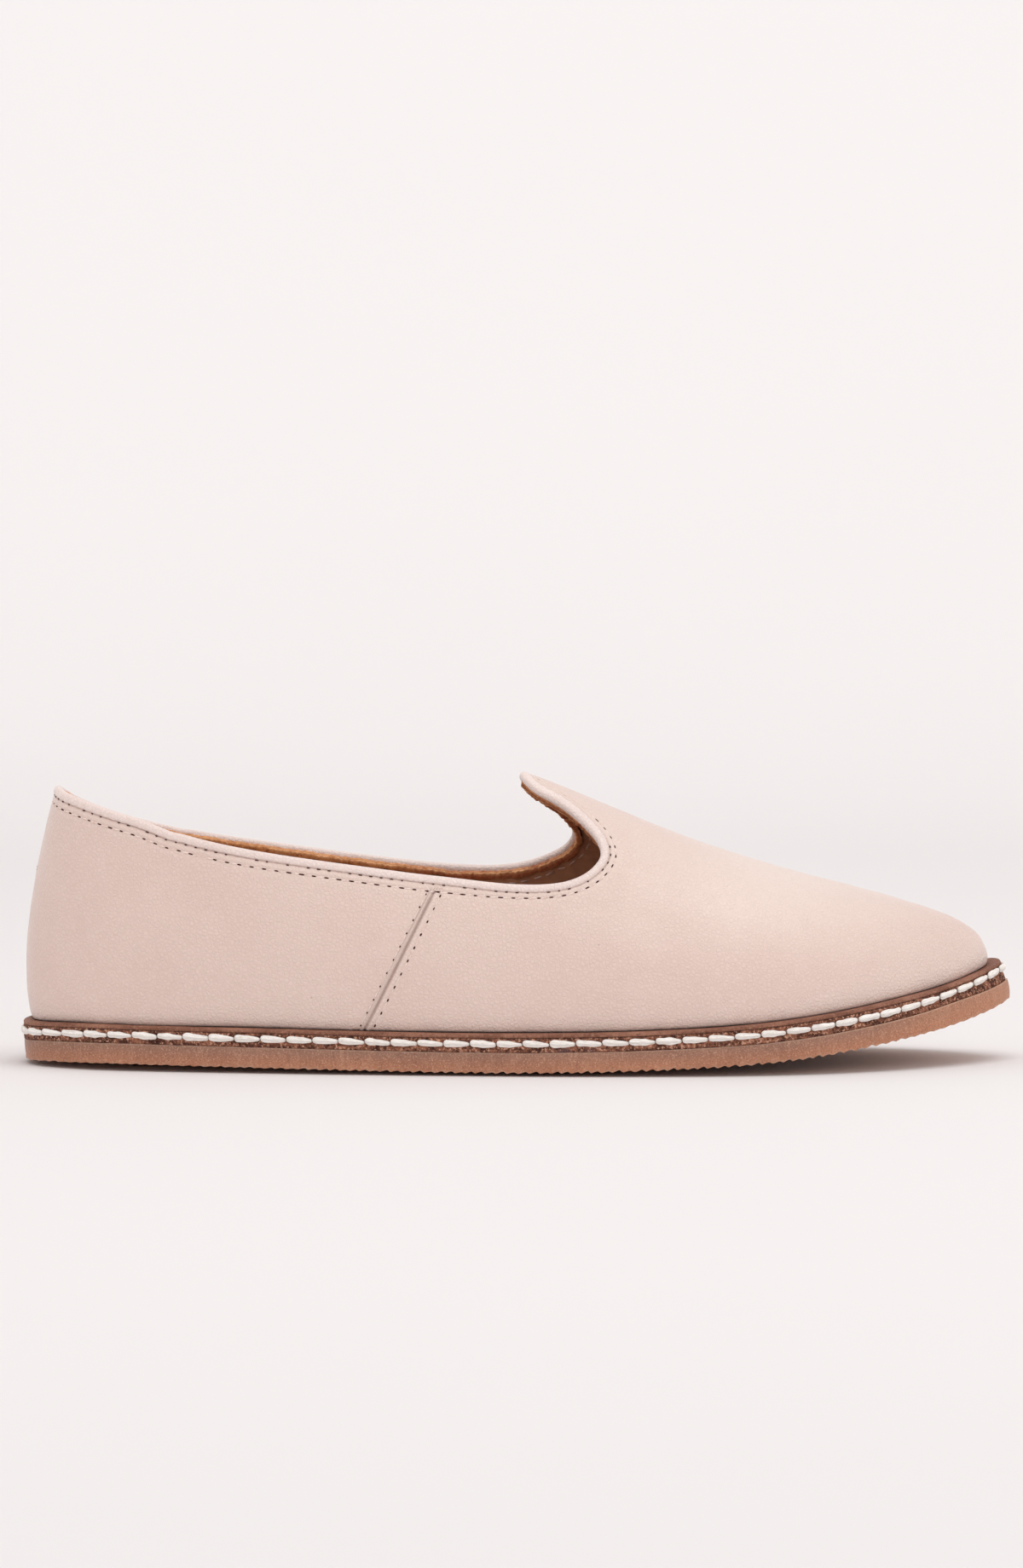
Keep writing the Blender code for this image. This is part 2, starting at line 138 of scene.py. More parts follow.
# collar along the outer quarter, round the notch and up the tab
COLLAR_OUTER = table("x z", [
    (40.0, 64.4), (53.5, 61.0), (69.0, 58.2), (87.0, 55.7), (104.0, 53.5),
    (121.0, 51.6), (134.0, 50.4), (144.0, 50.6), (151.0, 52.4),
    (155.3, 55.5), (156.8, 58.4), (156.0, 61.4), (153.6, 64.7),
    (149.5, 68.7), (144.5, 72.2), (139.5, 75.0),
])
# the same along the inner quarter
COLLAR_INNER = table("x z", [
    (40.0, 62.3), (53.5, 60.1), (69.0, 58.0), (87.0, 55.7), (104.0, 53.7),
    (119.0, 52.4), (130.0, 52.3), (138.5, 53.8), (144.6, 56.3),
    (148.4, 59.2), (149.5, 61.9), (148.7, 64.8), (146.4, 67.9),
    (143.0, 70.8), (139.3, 73.4),
])
# inset of each ring of the sole from the outline, at heel, side and toe
EDGE = {
    "tread": (1.2, 0.8, 0.9),
    "rubber_low": (0.6, 0.1, 0.0),
    "rubber_top": (0.2, 0.0, 0.6),
    "leather_low": (0.2, 0.0, 1.2),
    "leather_high": (0.0, 0.0, 2.5),
    "leather_top": (0.8, 0.9, 3.3),
    "feather": (2.7, 3.3, 6.5),
    "insole": (5.0, 6.2, 12.0),
}


# ------------------------------------------------------------------ curves
class Spline:
    """Smooth curve through given values; it may be closed with a period."""

    def __init__(self, t, y, period=None):
        t = np.asarray(t, float)
        y = np.asarray(y, float)
        if period:
            t = np.append(t, t[0] + period)
            y = np.append(y, y[:1], axis=0)
        n = len(t)
        h = np.diff(t)
        slope = (np.diff(y, axis=0).T / h).T
        a = np.zeros((n, n))
        r = np.zeros((n,) + y.shape[1:])
        for i in range(1, n - 1):
            a[i, i - 1:i + 2] = h[i - 1], 2 * (h[i - 1] + h[i]), h[i]
            r[i] = 6 * (slope[i] - slope[i - 1])
        if period:
            a[0, 0], a[0, 1], a[0, n - 2] = 2 * (h[0] + h[-1]), h[0], h[-1]
            r[0] = 6 * (slope[0] - slope[-1])
            a[-1, 0], a[-1, -1] = 1, -1
        else:
            a[0, 0] = a[-1, -1] = 1
        self.t, self.y, self.h, self.period = t, y, h, period
        self.m = np.linalg.solve(a, r)

    def __call__(self, x):
        x = np.asarray(x, float)
        if self.period:
            x = self.t[0] + np.mod(x - self.t[0], self.period)
        x = np.clip(x, self.t[0], self.t[-1])
        i = np.clip(np.searchsorted(self.t, x) - 1, 0, len(self.h) - 1)
        h = self.h[i]
        p = (self.t[i + 1] - x) / h
        q = (x - self.t[i]) / h
        if self.y.ndim > 1:
            h, p, q = h[..., None], p[..., None], q[..., None]
        return (p * self.y[i] + q * self.y[i + 1] + h * h / 6 *
                ((p ** 3 - p) * self.m[i] + (q ** 3 - q) * self.m[i + 1]))


def monotone(t, y, x):
    """Monotone smooth interpolation of a short rising table."""
    t, y = np.asarray(t, float), np.asarray(y, float)
    h, d = np.diff(t), np.diff(y) / np.diff(t)
    s = np.zeros(len(t))
    s[0], s[-1] = d[0], d[-1]
    for i in range(1, len(t) - 1):
        w1, w2 = 2 * h[i] + h[i - 1], h[i] + 2 * h[i - 1]
        s[i] = (w1 + w2) / (w1 / d[i - 1] + w2 / d[i])
    i = np.clip(np.searchsorted(t, x) - 1, 0, len(h) - 1)
    q = (x - t[i]) / h[i]
    return (y[i] * (1 + 2 * q) * (1 - q) ** 2 + y[i + 1] * q * q * (3 - 2 * q)
            + h[i] * (s[i] * q * (1 - q) ** 2 + s[i + 1] * q * q * (q - 1)))


def arc(points):
    """Running length along a polyline."""
    return np.append(0, np.cumsum(np.linalg.norm(np.diff(points, axis=0),
                                                 axis=1)))


def unit(v):
    return v / np.maximum(np.linalg.norm(v, axis=-1, keepdims=True), 1e-12)


# ------------------------------------------------------------ sole outline
def turn_of(x):
    """Outline parameter of a place along the sole: 0 heel, 1 toe."""
    return np.arccos(np.clip(1 - 2 * np.asarray(x) / SOLE_LENGTH, -1, 1)) / math.pi


_v = turn_of(SOLE["x"])
_outline_y = Spline(np.concatenate([_v, 2 - _v[-2:0:-1]]),
                    np.concatenate([-SOLE["outer"], SOLE["inner"][-2:0:-1]]),
                    period=2.0)
rim_z = Spline(SOLE["x"], SOLE["rim"])
welt_z = Spline(SOLE["x"], SOLE["welt"])


def outline(v):
    """Plan of the sole: v from 0 heel over the outer side to 1 toe and back."""
    return np.stack([SOLE_LENGTH * (1 - np.cos(math.pi * v)) / 2,
                     _outline_y(v)], axis=-1)


def outline_normal(v):
    """Away from the shoe, in plan."""
    d = unit(outline(v + 1e-4) - outline(v - 1e-4))
    return np.stack([d[..., 1], -d[..., 0]], axis=-1)


def inset(edge, x):
    heel, side, toe = EDGE[edge]
    k = np.clip((x - 4.0) / 40.0, 0, 1)
    m = np.clip((x - 190.0) / 68.0, 0, 1)
    k, m = k * k * (3 - 2 * k), m * m * (3 - 2 * m)
    return heel + (side - heel) * k + (toe - side) * m


def ring(edge, v, extra=0.0):
    """The sole outline drawn in by an edge's inset."""
    p = outline(v)
    return p - outline_normal(v) * (inset(edge, p[..., 0]) + extra)[..., None]


# --------------------------------------------------------------- the last
_dense = np.linspace(0, 2, 4001)
_feather = ring("feather", _dense)
_toe = int(np.argmax(_feather[:, 0]))
TIP_X = float(_feather[_toe, 0])
_reach = np.sqrt(np.maximum(RIDGE["x"][-1] - RIDGE["x"], 0))[::-1]
_ridge_z = Spline(_reach, RIDGE["z"][::-1])
_ridge_y = Spline(_reach, RIDGE["y"][::-1])
_power = Spline(FULLNESS["x"], FULLNESS["power"])
_bulge = Spline(FULLNESS["x"], FULLNESS["bulge"])
_span = Spline(FULLNESS["x"], FULLNESS["span"])
_back = np.arctan2(_feather[:, 1], HEEL_PIVOT - _feather[:, 0])
_radius = np.hypot(_feather[:, 1], HEEL_PIVOT - _feather[:, 0])
_order = np.argsort(_back)


def ridge(x):
    q = np.sqrt(np.maximum(TIP_X - x, 0)) * \
        math.sqrt((RIDGE["x"][-1] - HEEL_PIVOT) / (TIP_X - HEEL_PIVOT))
    return _ridge_y(q), _ridge_z(q)


def section(x, y):
    """Fraction of the half-width at a plan point, and its section's sizes."""
    x, y = np.asarray(x, float), np.asarray(y, float)
    ry, rz = ridge(np.maximum(x, HEEL_PIVOT))
    fo = np.interp(x, _feather[:_toe + 1, 0], _feather[:_toe + 1, 1])
    fi = np.interp(x, _feather[_toe:, 0][::-1], _feather[_toe:, 1][::-1])
    half = np.where(y < ry, ry - fo, fi - ry)
    front = np.abs(y - ry) / np.maximum(half, 1e-6)
    angle = np.arctan2(y, HEEL_PIVOT - x)
    rad = np.interp(angle, _back[_order], _radius[_order])
    heel = np.hypot(y, HEEL_PIVOT - x) / rad
    foot_x = np.where(x < HEEL_PIVOT, HEEL_PIVOT - rad * np.cos(angle), x)
    return (np.where(x < HEEL_PIVOT, heel, front), welt_z(foot_x) + GAP, rz,
            _power(np.maximum(x, HEEL_PIVOT)))


def last_z(x, y):
    """Height of the last over a plan point."""
    s, low, high, k = section(x, y)
    return low + (high - low) * np.maximum(1 - np.clip(s, 0, 1) ** k, 0) ** (1 / k)


def last_normal(x, y, e=0.02):
    gx = (last_z(x + e, y) - last_z(x - e, y)) / (2 * e)
    gy = (last_z(x, y + e) - last_z(x, y - e)) / (2 * e)
    return unit(np.stack([-gx, -gy, np.ones_like(gx)], axis=-1))


# ---------------------------------------------------------------- collar
def collar_points():
    """Points of the collar, from the back seam round by the outer side."""
    high = RIDGE["z"][0]
    runs, heights = [], []
    for name, rows in (("outer", COLLAR_OUTER), ("inner", COLLAR_INNER)):
        low_part = rows["x"] < QUARTER_END + 1.0
        runs.append(np.append(COLLAR_HEEL["turn"] * HEEL_STEP,
                              90 * HEEL_STEP + rows["x"][low_part] - HEEL_PIVOT))
        heights.append(np.append(COLLAR_HEEL[name], rows["z"][low_part]))
    height = Spline(np.concatenate([-runs[0][:0:-1], runs[1]]),
                    np.concatenate([heights[0][:0:-1], heights[1]]))
    sides = []
    for rows, sign in ((COLLAR_OUTER, -1), (COLLAR_INNER, 1)):
        pts = []
        for turn in np.arange(0.0, 88.0, 5.0):
            t = math.radians(turn) * sign
            z = float(height(sign * turn * HEEL_STEP))
            rad = np.interp(t, _back[_order], _radius[_order])
            low = welt_z(HEEL_PIVOT - rad * math.cos(t)) + GAP
            k = _power(HEEL_PIVOT)
            d = rad * (1 - ((z - low) / (high - low)) ** k) ** (1 / k)
            pts.append((HEEL_PIVOT - d * math.cos(t), d * math.sin(t)))
        along = [(x, float(height(sign * (90 * HEEL_STEP + x - HEEL_PIVOT))))
                 for x in np.arange(HEEL_PIVOT, QUARTER_END - 2.0, 4.0)]
        along += [(x, z) for x, z in zip(rows["x"], rows["z"]) if x >= QUARTER_END]
        for x, z in along:
            ry, rz = ridge(x)
            edge = _feather[:_toe + 1] if sign < 0 else _feather[_toe:][::-1]
            half = abs(np.interp(x, edge[:, 0], edge[:, 1]) - ry)
            low, k = welt_z(x) + GAP, _power(x)
            d = half * (1 - ((z - low) / (rz - low)) ** k) ** (1 / k)
            pts.append((x, float(ry) + sign * d))
        sides.append(pts)
    tip = (TAB_TIP, float(ridge(TAB_TIP)[0]))
    return np.array(sides[0] + [tip] + sides[1][:0:-1], float)


def collar_curve(count):
    """Closed collar line on the last: plan points."""
    p = collar_points()
    t = arc(np.vstack([p, p[:1]]))
    curve = Spline(t[:-1], p, period=t[-1])
    u = np.linspace(0, t[-1], count, endpoint=False)
    return curve(u)


def on_last(plan):
    return np.column_stack([plan, last_z(plan[:, 0], plan[:, 1])])


def collar_frame(c):
    """Along the collar, out of the wall, and down the wall, at each point."""
    along = unit(np.roll(c, -1, axis=0) - np.roll(c, 1, axis=0))
    out = last_normal(c[:, 0], c[:, 1])
    out = unit(out - along * np.sum(out * along, axis=1, keepdims=True))
    down = np.cross(along, out)
    return along, out, down * np.sign(-down[0, 2])


def spaced(curve, at):
    """Points of a dense polyline at given fractions of its length."""
    s = arc(curve)
    return np.column_stack([np.interp(at * s[-1], s, curve[:, i])
                            for i in range(curve.shape[1])])


def place(curve, x):
    """Fraction of a polyline's length at which it first passes x."""
    s = arc(curve)
    i = int(np.argmax(curve[:, 0] >= x))
    return s[i] / s[-1]


def lines(a):
    """Matching points of welt line and collar line, round the shoe."""
    dense = on_last(collar_curve(4000))
    tip = int(np.argmin(np.hypot(dense[:, 0] - TAB_TIP,
                                 dense[:, 1] - ridge(TAB_TIP)[0])))
    welt = [_feather[:_toe + 1], _feather[_toe:][::-1]]
    top = [dense[:tip + 1], np.vstack([dense[tip:], dense[:1]])[::-1]]
    foot, head = [], []
    for w, c in zip(welt, top):
        apex = arc(c)[int(np.argmax(c[:, 0]))] / arc(c)[-1]
        marks = [0, 0.43, 0.67, 1]
        fa = monotone(marks, [0, place(w, SIDE_SEAM_FOOT), place(w, NOTCH_FOOT), 1], a)
        ca = monotone(marks, [0, place(c, SIDE_SEAM_HEAD), apex, 1], a)
        foot.append(spaced(w, fa))
        head.append(spaced(c, ca))
    return (np.vstack([foot[0], foot[1][-2:0:-1]]),
            np.vstack([head[0], head[1][-2:0:-1]]))


def wall_grid(foot, head, rows):
    """Points of the upper's outside: rows from welt to collar, round the shoe."""
    n = len(foot)
    edge = np.roll(foot, -1, axis=0) - np.roll(foot, 1, axis=0)
    normal = unit(np.stack([edge[:, 1], -edge[:, 0]], axis=-1))
    normal *= np.sign(normal[n // 4, 1] * -1.0)
    t = np.linspace(0, 1, 240) ** 2
    grid = np.zeros((len(rows), n, 3))
    for i in range(n):
        plan = foot[i] + (head[i, :2] - foot[i]) * t[:, None]
        z = last_z(plan[:, 0], plan[:, 1])
        z[0] = welt_z(foot[i, 0]) + GAP
        line = np.column_stack([plan, z])
        s = arc(line)
        fx = foot[i, 0]
        swell = np.clip(s / min(float(_span(fx)), s[-1]), 0, 1)
        line[:, :2] += normal[i] * (float(_bulge(fx)) *
                                    np.sin(math.pi * swell ** 0.6))[:, None]
        s = arc(line)
        for j in range(3):
            grid[:, i, j] = np.interp(rows * s[-1], s, line[:, j])
    return grid, normal


def grid_normals(grid):
    along = np.roll(grid, -1, axis=1) - np.roll(grid, 1, axis=1)
    up = np.gradient(grid, axis=0)
    nrm = unit(np.cross(along, up))
    return nrm * np.sign(-nrm[len(grid) // 2, grid.shape[1] // 4, 1])


# ------------------------------------------------------------ mesh helpers
SHIFT = np.array([SOLE_LENGTH / 2, -CENTRE_Y, 0.0])


def grid_faces(rows, cols, wrap_rows=False, wrap_cols=True):
    """Quads of a grid of points numbered row by row."""
    r = np.arange(rows if wrap_rows else rows - 1)
    c = np.arange(cols if wrap_cols else cols - 1)
    r, c = np.meshgrid(r, c, indexing="ij")
    r2, c2 = (r + 1) % rows, (c + 1) % cols
    return np.stack([r * cols + c, r * cols + c2, r2 * cols + c2,
                     r2 * cols + c], axis=-1).reshape(-1, 4)


def volume(verts, faces):
    total = 0.0
    for f in faces:
        p = verts[f]
        for k in range(1, f.shape[1] - 1):
            total += np.einsum("ij,ij->i", p[:, 0],
                               np.cross(p[:, k], p[:, k + 1])).sum()
    return total


def piece(name, verts, faces, mat, stands_for=None, fields=None, flat=False):
    """An object from points (mm, heel at x = 0) and lists of face arrays."""
    verts = np.asarray(verts, float).reshape(-1, 3)
    faces = [np.asarray(f, int) for f in faces if len(f)]
    centred = verts - verts.mean(axis=0)
    if volume(centred, faces) < 0:
        faces = [f[:, ::-1] for f in faces]
    mesh = bpy.data.meshes.new(name)
    mesh.vertices.add(len(verts))
    mesh.vertices.foreach_set("co", ((verts - SHIFT) * MM).ravel())
    loops = np.concatenate([f.ravel() for f in faces])
    sizes = np.concatenate([np.full(len(f), f.shape[1]) for f in faces])
    mesh.loops.add(len(loops))
    mesh.loops.foreach_set("vertex_index", loops)
    mesh.polygons.add(len(sizes))
    mesh.polygons.foreach_set("loop_start", np.append(0, np.cumsum(sizes)[:-1]))
    mesh.polygons.foreach_set("loop_total", sizes)
    mesh.update(calc_edges=True)
    for key, values in (fields or {}).items():
        attr = mesh.attributes.new(key, "FLOAT", "POINT")
        attr.data.foreach_set("value", np.asarray(values, float).ravel())
    mesh.validate()
    if not flat:
        mesh.shade_smooth()
    mesh.materials.append(mat)
    obj = bpy.data.objects.new(name, mesh)
    bpy.context.scene.collection.objects.link(obj)
    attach(obj, "root")
    if stands_for:
        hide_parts(stands_for)
    return obj


def smooth(x, lo, hi):
    t = np.clip((x - lo) / (hi - lo), 0, 1)
    return t * t * (3 - 2 * t)


def bell(x, centre, width):
    return np.exp(-((x - centre) / width) ** 2)


def ripple(points, size, seed, waves=9):
    """Soft unevenness in space: a few crossing waves of about one size."""
    g = np.random.default_rng(seed)
    out = np.zeros(points.shape[:-1])
    for _ in range(waves):
        k = g.normal(size=3)
        k *= 2 * math.pi / (size * g.uniform(0.7, 1.5)) / np.linalg.norm(k)
        out += np.sin(points @ k + g.uniform(0, 2 * math.pi))
    return out / math.sqrt(waves)


# --------------------------------------------------------------- materials
def lin(r, g, b):
    """Linear colour of an 8-bit display colour."""
    c = np.array([r, g, b]) / 255.0
    c = np.where(c <= 0.04045, c / 12.92, ((c + 0.055) / 1.055) ** 2.4)
    return (*[float(v) for v in c], 1.0)


class Shader:
    """A Principled material with short calls for its texture nodes."""

    def __init__(self, name, **sockets):
        self.mat = bpy.data.materials.new(name)
        self.mat.use_nodes = True
        self.tree = self.mat.node_tree
        self.bsdf = self.tree.nodes["Principled BSDF"]
        for key, value in sockets.items():
            self.bsdf.inputs[key.replace("_", " ")].default_value = value
        self.place = self.node("ShaderNodeTexCoord").outputs["Object"]

    def node(self, kind, **values):
        n = self.tree.nodes.new(kind)
        for key, value in values.items():
            setattr(n, key, value)
        return n

    def put(self, socket, value):
        if isinstance(value, bpy.types.NodeSocket):
            self.tree.links.new(value, socket)
        else:
            socket.default_value = value

    def field(self, name):
        return self.node("ShaderNodeAttribute", attribute_name=name).outputs["Fac"]

    def noise(self, scale, detail=2.0, rough=0.5, at=None, stretch=None, distort=0.0):
        n = self.node("ShaderNodeTexNoise")
        at = at or self.place
        if stretch:
            m = self.node("ShaderNodeMapping")
            self.put(m.inputs["Vector"], at)
            m.inputs["Scale"].default_value = stretch
            at = m.outputs["Vector"]
        self.put(n.inputs["Vector"], at)
        n.inputs["Scale"].default_value = scale
        n.inputs["Detail"].default_value = detail
        n.inputs["Roughness"].default_value = rough
        n.inputs["Distortion"].default_value = distort
        return n.outputs["Fac"]

    def cells(self, scale, feature="F1", random=1.0, at=None):
        n = self.node("ShaderNodeTexVoronoi", feature=feature)
        self.put(n.inputs["Vector"], at or self.place)
        n.inputs["Scale"].default_value = scale
        n.inputs["Randomness"].default_value = random
        return n.outputs["Distance"]

    def math(self, op, a, b=0.0, c=None, clamp=False):
        n = self.node("ShaderNodeMath", operation=op, use_clamp=clamp)
        self.put(n.inputs[0], a)
        self.put(n.inputs[1], b)
        if c is not None:
            self.put(n.inputs[2], c)
        return n.outputs[0]

    def span(self, value, lo, hi, to_lo=0.0, to_hi=1.0):
        n = self.node("ShaderNodeMapRange", interpolation_type="SMOOTHSTEP")
        for key, v in zip(("Value", "From Min", "From Max", "To Min", "To Max"),
                          (value, lo, hi, to_lo, to_hi)):
            self.put(n.inputs[key], v)
        return n.outputs["Result"]

    def mix(self, fac, a, b, kind="MIX"):
        n = self.node("ShaderNodeMix", data_type="RGBA", blend_type=kind)
        self.put(n.inputs[0], fac)
        self.put(n.inputs[6], a)
        self.put(n.inputs[7], b)
        return n.outputs[2]

    def vector(self, x, y, z=0.0):
        n = self.node("ShaderNodeCombineXYZ")
        for s, v in zip(n.inputs, (x, y, z)):
            self.put(s, v)
        return n.outputs[0]

    def bump(self, height, distance, strength=1.0, under=None):
        n = self.node("ShaderNodeBump")
        self.put(n.inputs["Height"], height)
        n.inputs["Distance"].default_value = distance
        n.inputs["Strength"].default_value = strength
        if under is not None:
            self.put(n.inputs["Normal"], under)
        return n.outputs["Normal"]

    def finish(self, colour, rough=None, normal=None):
        self.put(self.bsdf.inputs["Base Color"], colour)
        if rough is not None:
            self.put(self.bsdf.inputs["Roughness"], rough)
        if normal is not None:
            self.put(self.bsdf.inputs["Normal"], normal)
        return self.mat


def pink_leather(name, dirt_and_painted_light=True, tone=(227, 203, 193), pucker=False):
    """Fine-grained pale leather: pebbled grain, soft mottling; dirt and painted shade along the welt line, painted
    shade in the seams, painted highlight beside them and over the vamp.
    """
    s = Shader(name, Specular_IOR_Level=0.42, Coat_Weight=0.06, Coat_Roughness=0.38,
               Sheen_Weight=0.28, Sheen_Roughness=0.45)
    a = lin(*tone)
    b = lin(tone[0] - 4, tone[1] - 6, tone[2] - 6)
    c = lin(min(tone[0] + 5, 255), tone[1] + 6, tone[2] + 6)
    col = s.mix(s.span(s.noise(20, 3), 0.35, 0.7), a, b)
    col = s.mix(s.span(s.noise(130, 4, 0.6), 0.45, 0.8, 0.0, 0.35), col, c)
    pebble = s.cells(950, "DISTANCE_TO_EDGE")
    pores = s.span(pebble, 0.0, 0.14, 0.16, 0.0)
    col = s.mix(pores, col, lin(190, 155, 143))
    specks = s.math("MULTIPLY", s.span(s.cells(150), 0.025, 0.05, 1.0, 0.0),
                    s.span(s.noise(60, 1), 0.56, 0.6))
    col = s.mix(s.math("MULTIPLY", specks, 0.5), col, lin(126, 90, 80))
    if dirt_and_painted_light:
        # dirt with painted shade along the welt line
        dirt = s.math("MULTIPLY", s.field("dirt_and_painted_light"),
                      s.span(s.noise(240, 4, 0.65), 0.25, 0.7, 0.55, 1.15))
        col = s.mix(s.math("MINIMUM", dirt, 1.0), col, lin(92, 62, 54))
        # painted shade in the seams and along the sewn rows
        col = s.mix(s.field("seam"), col, lin(112, 78, 68))
        # painted highlight
        col = s.mix(s.field("painted_light"), col, lin(240, 222, 212))
    grain = s.math("ADD", s.span(pebble, 0.0, 0.3, 0.0, 0.7),
                   s.math("MULTIPLY", s.noise(700, 4, 0.65), 1.0))
    n = s.bump(s.noise(75, 2), 0.0006, 0.30)
    n = s.bump(s.noise(260, 3, 0.6, distort=0.5), 0.00022, 0.6, n)
    n = s.bump(grain, 0.00016, 0.8, n)
    if pucker:
        at = s.vector(s.field("along"), s.field("around"), 0.0)
        creases = s.noise(1.0, 3, 0.6, at=at, stretch=(1.5, 0.28, 1.0))
        n = s.bump(s.math("MULTIPLY", creases, s.field("pucker")), 0.0006, 0.7, n)
    rough = s.span(s.noise(210, 3), 0.3, 0.75, 0.40, 0.52)
    return s.finish(col, rough, n)


def raw_edge(name):
    """Cut leather edge: orange-brown, fuzzy, with painted highlight along its rims and painted shade by the notch
    and in the slits.
    """
    s = Shader(name, Specular_IOR_Level=0.25)
    f = s.noise(900, 5, 0.7)
    col = s.mix(s.span(f, 0.3, 0.7), lin(144, 78, 44), lin(222, 144, 86))
    col = s.mix(s.span(s.noise(170, 3, 0.6), 0.42, 0.68, 0.0, 0.35), col, lin(232, 166, 110))
    # painted shade on the band by the notch and on the tab
    col = s.mix(s.math("MULTIPLY", s.field("band_shade"), 0.90), col, lin(154, 68, 41))
    # painted highlight along the rims
    col = s.mix(s.math("MULTIPLY", s.field("rim"),
                       s.span(s.noise(500, 4), 0.3, 0.6, 0.3, 1.0)), col, lin(242, 182, 132))
    # painted shade in the slit between the two layers
    col = s.mix(s.field("slit_shade"), col, lin(56, 28, 19))
    n = s.bump(f, 0.0004, 0.9)
    return s.finish(col, 0.8, n)


def lining_leather(name, dark=(88, 52, 34), light=(122, 78, 53)):
    """Brown lining: matte, faint lengthwise scuffs."""
    s = Shader(name, Specular_IOR_Level=0.3)
    col = s.mix(s.span(s.noise(45, 4), 0.35, 0.7), lin(*dark), lin(*light))
    streak = s.noise(260, 3, 0.6, stretch=(0.25, 1.0, 1.3))
    col = s.mix(s.span(streak, 0.45, 0.8, 0.0, 0.4), col, lin(light[0] + 18, light[1] + 14, light[2] + 12))
    n = s.bump(s.noise(700, 4, 0.6), 0.00012, 0.7)
    n = s.bump(streak, 0.0002, 0.35, n)
    return s.finish(col, s.span(s.noise(120), 0.3, 0.7, 0.55, 0.72), n)


def thread(name, tone, dark):
    """Twisted sewing thread."""
    s = Shader(name, Specular_IOR_Level=0.3)
    twist = s.noise(900, 3, 0.6)
    col = s.mix(s.span(twist, 0.35, 0.75), lin(*tone), lin(*dark))
    return s.finish(col, 0.7, s.bump(twist, 0.0001, 0.8))


def hole(name):
    """Needle hole: shadowed leather."""
    s = Shader(name, Specular_IOR_Level=0.1)
    col = s.mix(s.noise(700), lin(58, 34, 28), lin(84, 54, 46))
    return s.finish(col, 0.95)


def cotton(name):
    """Waxed white welt cord: fibres along it, grey flecks, a little dirt, painted shade at both ends of each grain.
    """
    s = Shader(name, Specular_IOR_Level=0.28)
    at = s.vector(s.field("along"), s.field("around"), s.field("number"))
    fibre = s.noise(1.0, 4, 0.65, at=at, stretch=(0.45, 7.0, 3.0))
    col = s.mix(s.span(fibre, 0.25, 0.65), lin(226, 216, 208), lin(254, 249, 244))
    fleck = s.noise(1.0, 3, 0.7, at=at, stretch=(1.6, 9.0, 5.0))
    col = s.mix(s.span(fleck, 0.60, 0.74, 0.0, 0.5), col, lin(164, 154, 150))
    patch = s.noise(1.0, 2, 0.5, at=at, stretch=(0.28, 0.8, 2.0))
    col = s.mix(s.span(patch, 0.58, 0.8, 0.0, 0.45), col, lin(204, 190, 181))
    # painted shade at each grain's head and tail, where it sinks into the welt and under its neighbour
    col = s.mix(s.field("deep"), col, lin(96, 66, 52))
    n = s.bump(fibre, 0.00022, 0.85)
    return s.finish(col, 0.68, n)


def sole_leather(name):
    """Raw leather edge: fibrous brown, smooth lip, painted shade in the line under it and in the creases."""
    s = Shader(name, Specular_IOR_Level=0.3)
    fibre = s.noise(420, 6, 0.72, stretch=(0.6, 0.6, 1.5))
    spots = s.noise(1300, 3, 0.7)
    raw = s.mix(s.span(fibre, 0.37, 0.63), lin(72, 36, 25), lin(156, 102, 79))
    raw = s.mix(s.span(spots, 0.53, 0.64, 0.0, 0.9), raw, lin(212, 162, 136))
    raw = s.mix(s.span(spots, 0.35, 0.46, 0.88, 0.0), raw, lin(46, 22, 15))
    lip = s.mix(s.span(s.noise(240, 4, 0.6, stretch=(0.35, 0.35, 1.0)), 0.3, 0.75),
                lin(122, 76, 58), lin(166, 116, 94))
    lip = s.mix(s.span(spots, 0.33, 0.46, 0.55, 0.0), lip, lin(84, 48, 36))
    lip = s.mix(s.span(spots, 0.55, 0.66, 0.0, 0.35), lip, lin(196, 148, 124))
    col = s.mix(s.field("lip"), raw, lip)
    # painted shade in the line under the lip, at the join with the rubber and in the crease under the upper
    col = s.mix(s.field("groove_shade"), col, lin(56, 30, 22))
    col = s.mix(s.field("smudge"), col, lin(70, 62, 72))
    n = s.bump(s.math("ADD", fibre, s.math("MULTIPLY", spots, 0.8)), 0.0004, 0.95)
    rough = s.span(s.field("lip"), 0.0, 1.0, 0.82, 0.62)
    return s.finish(col, rough, n)


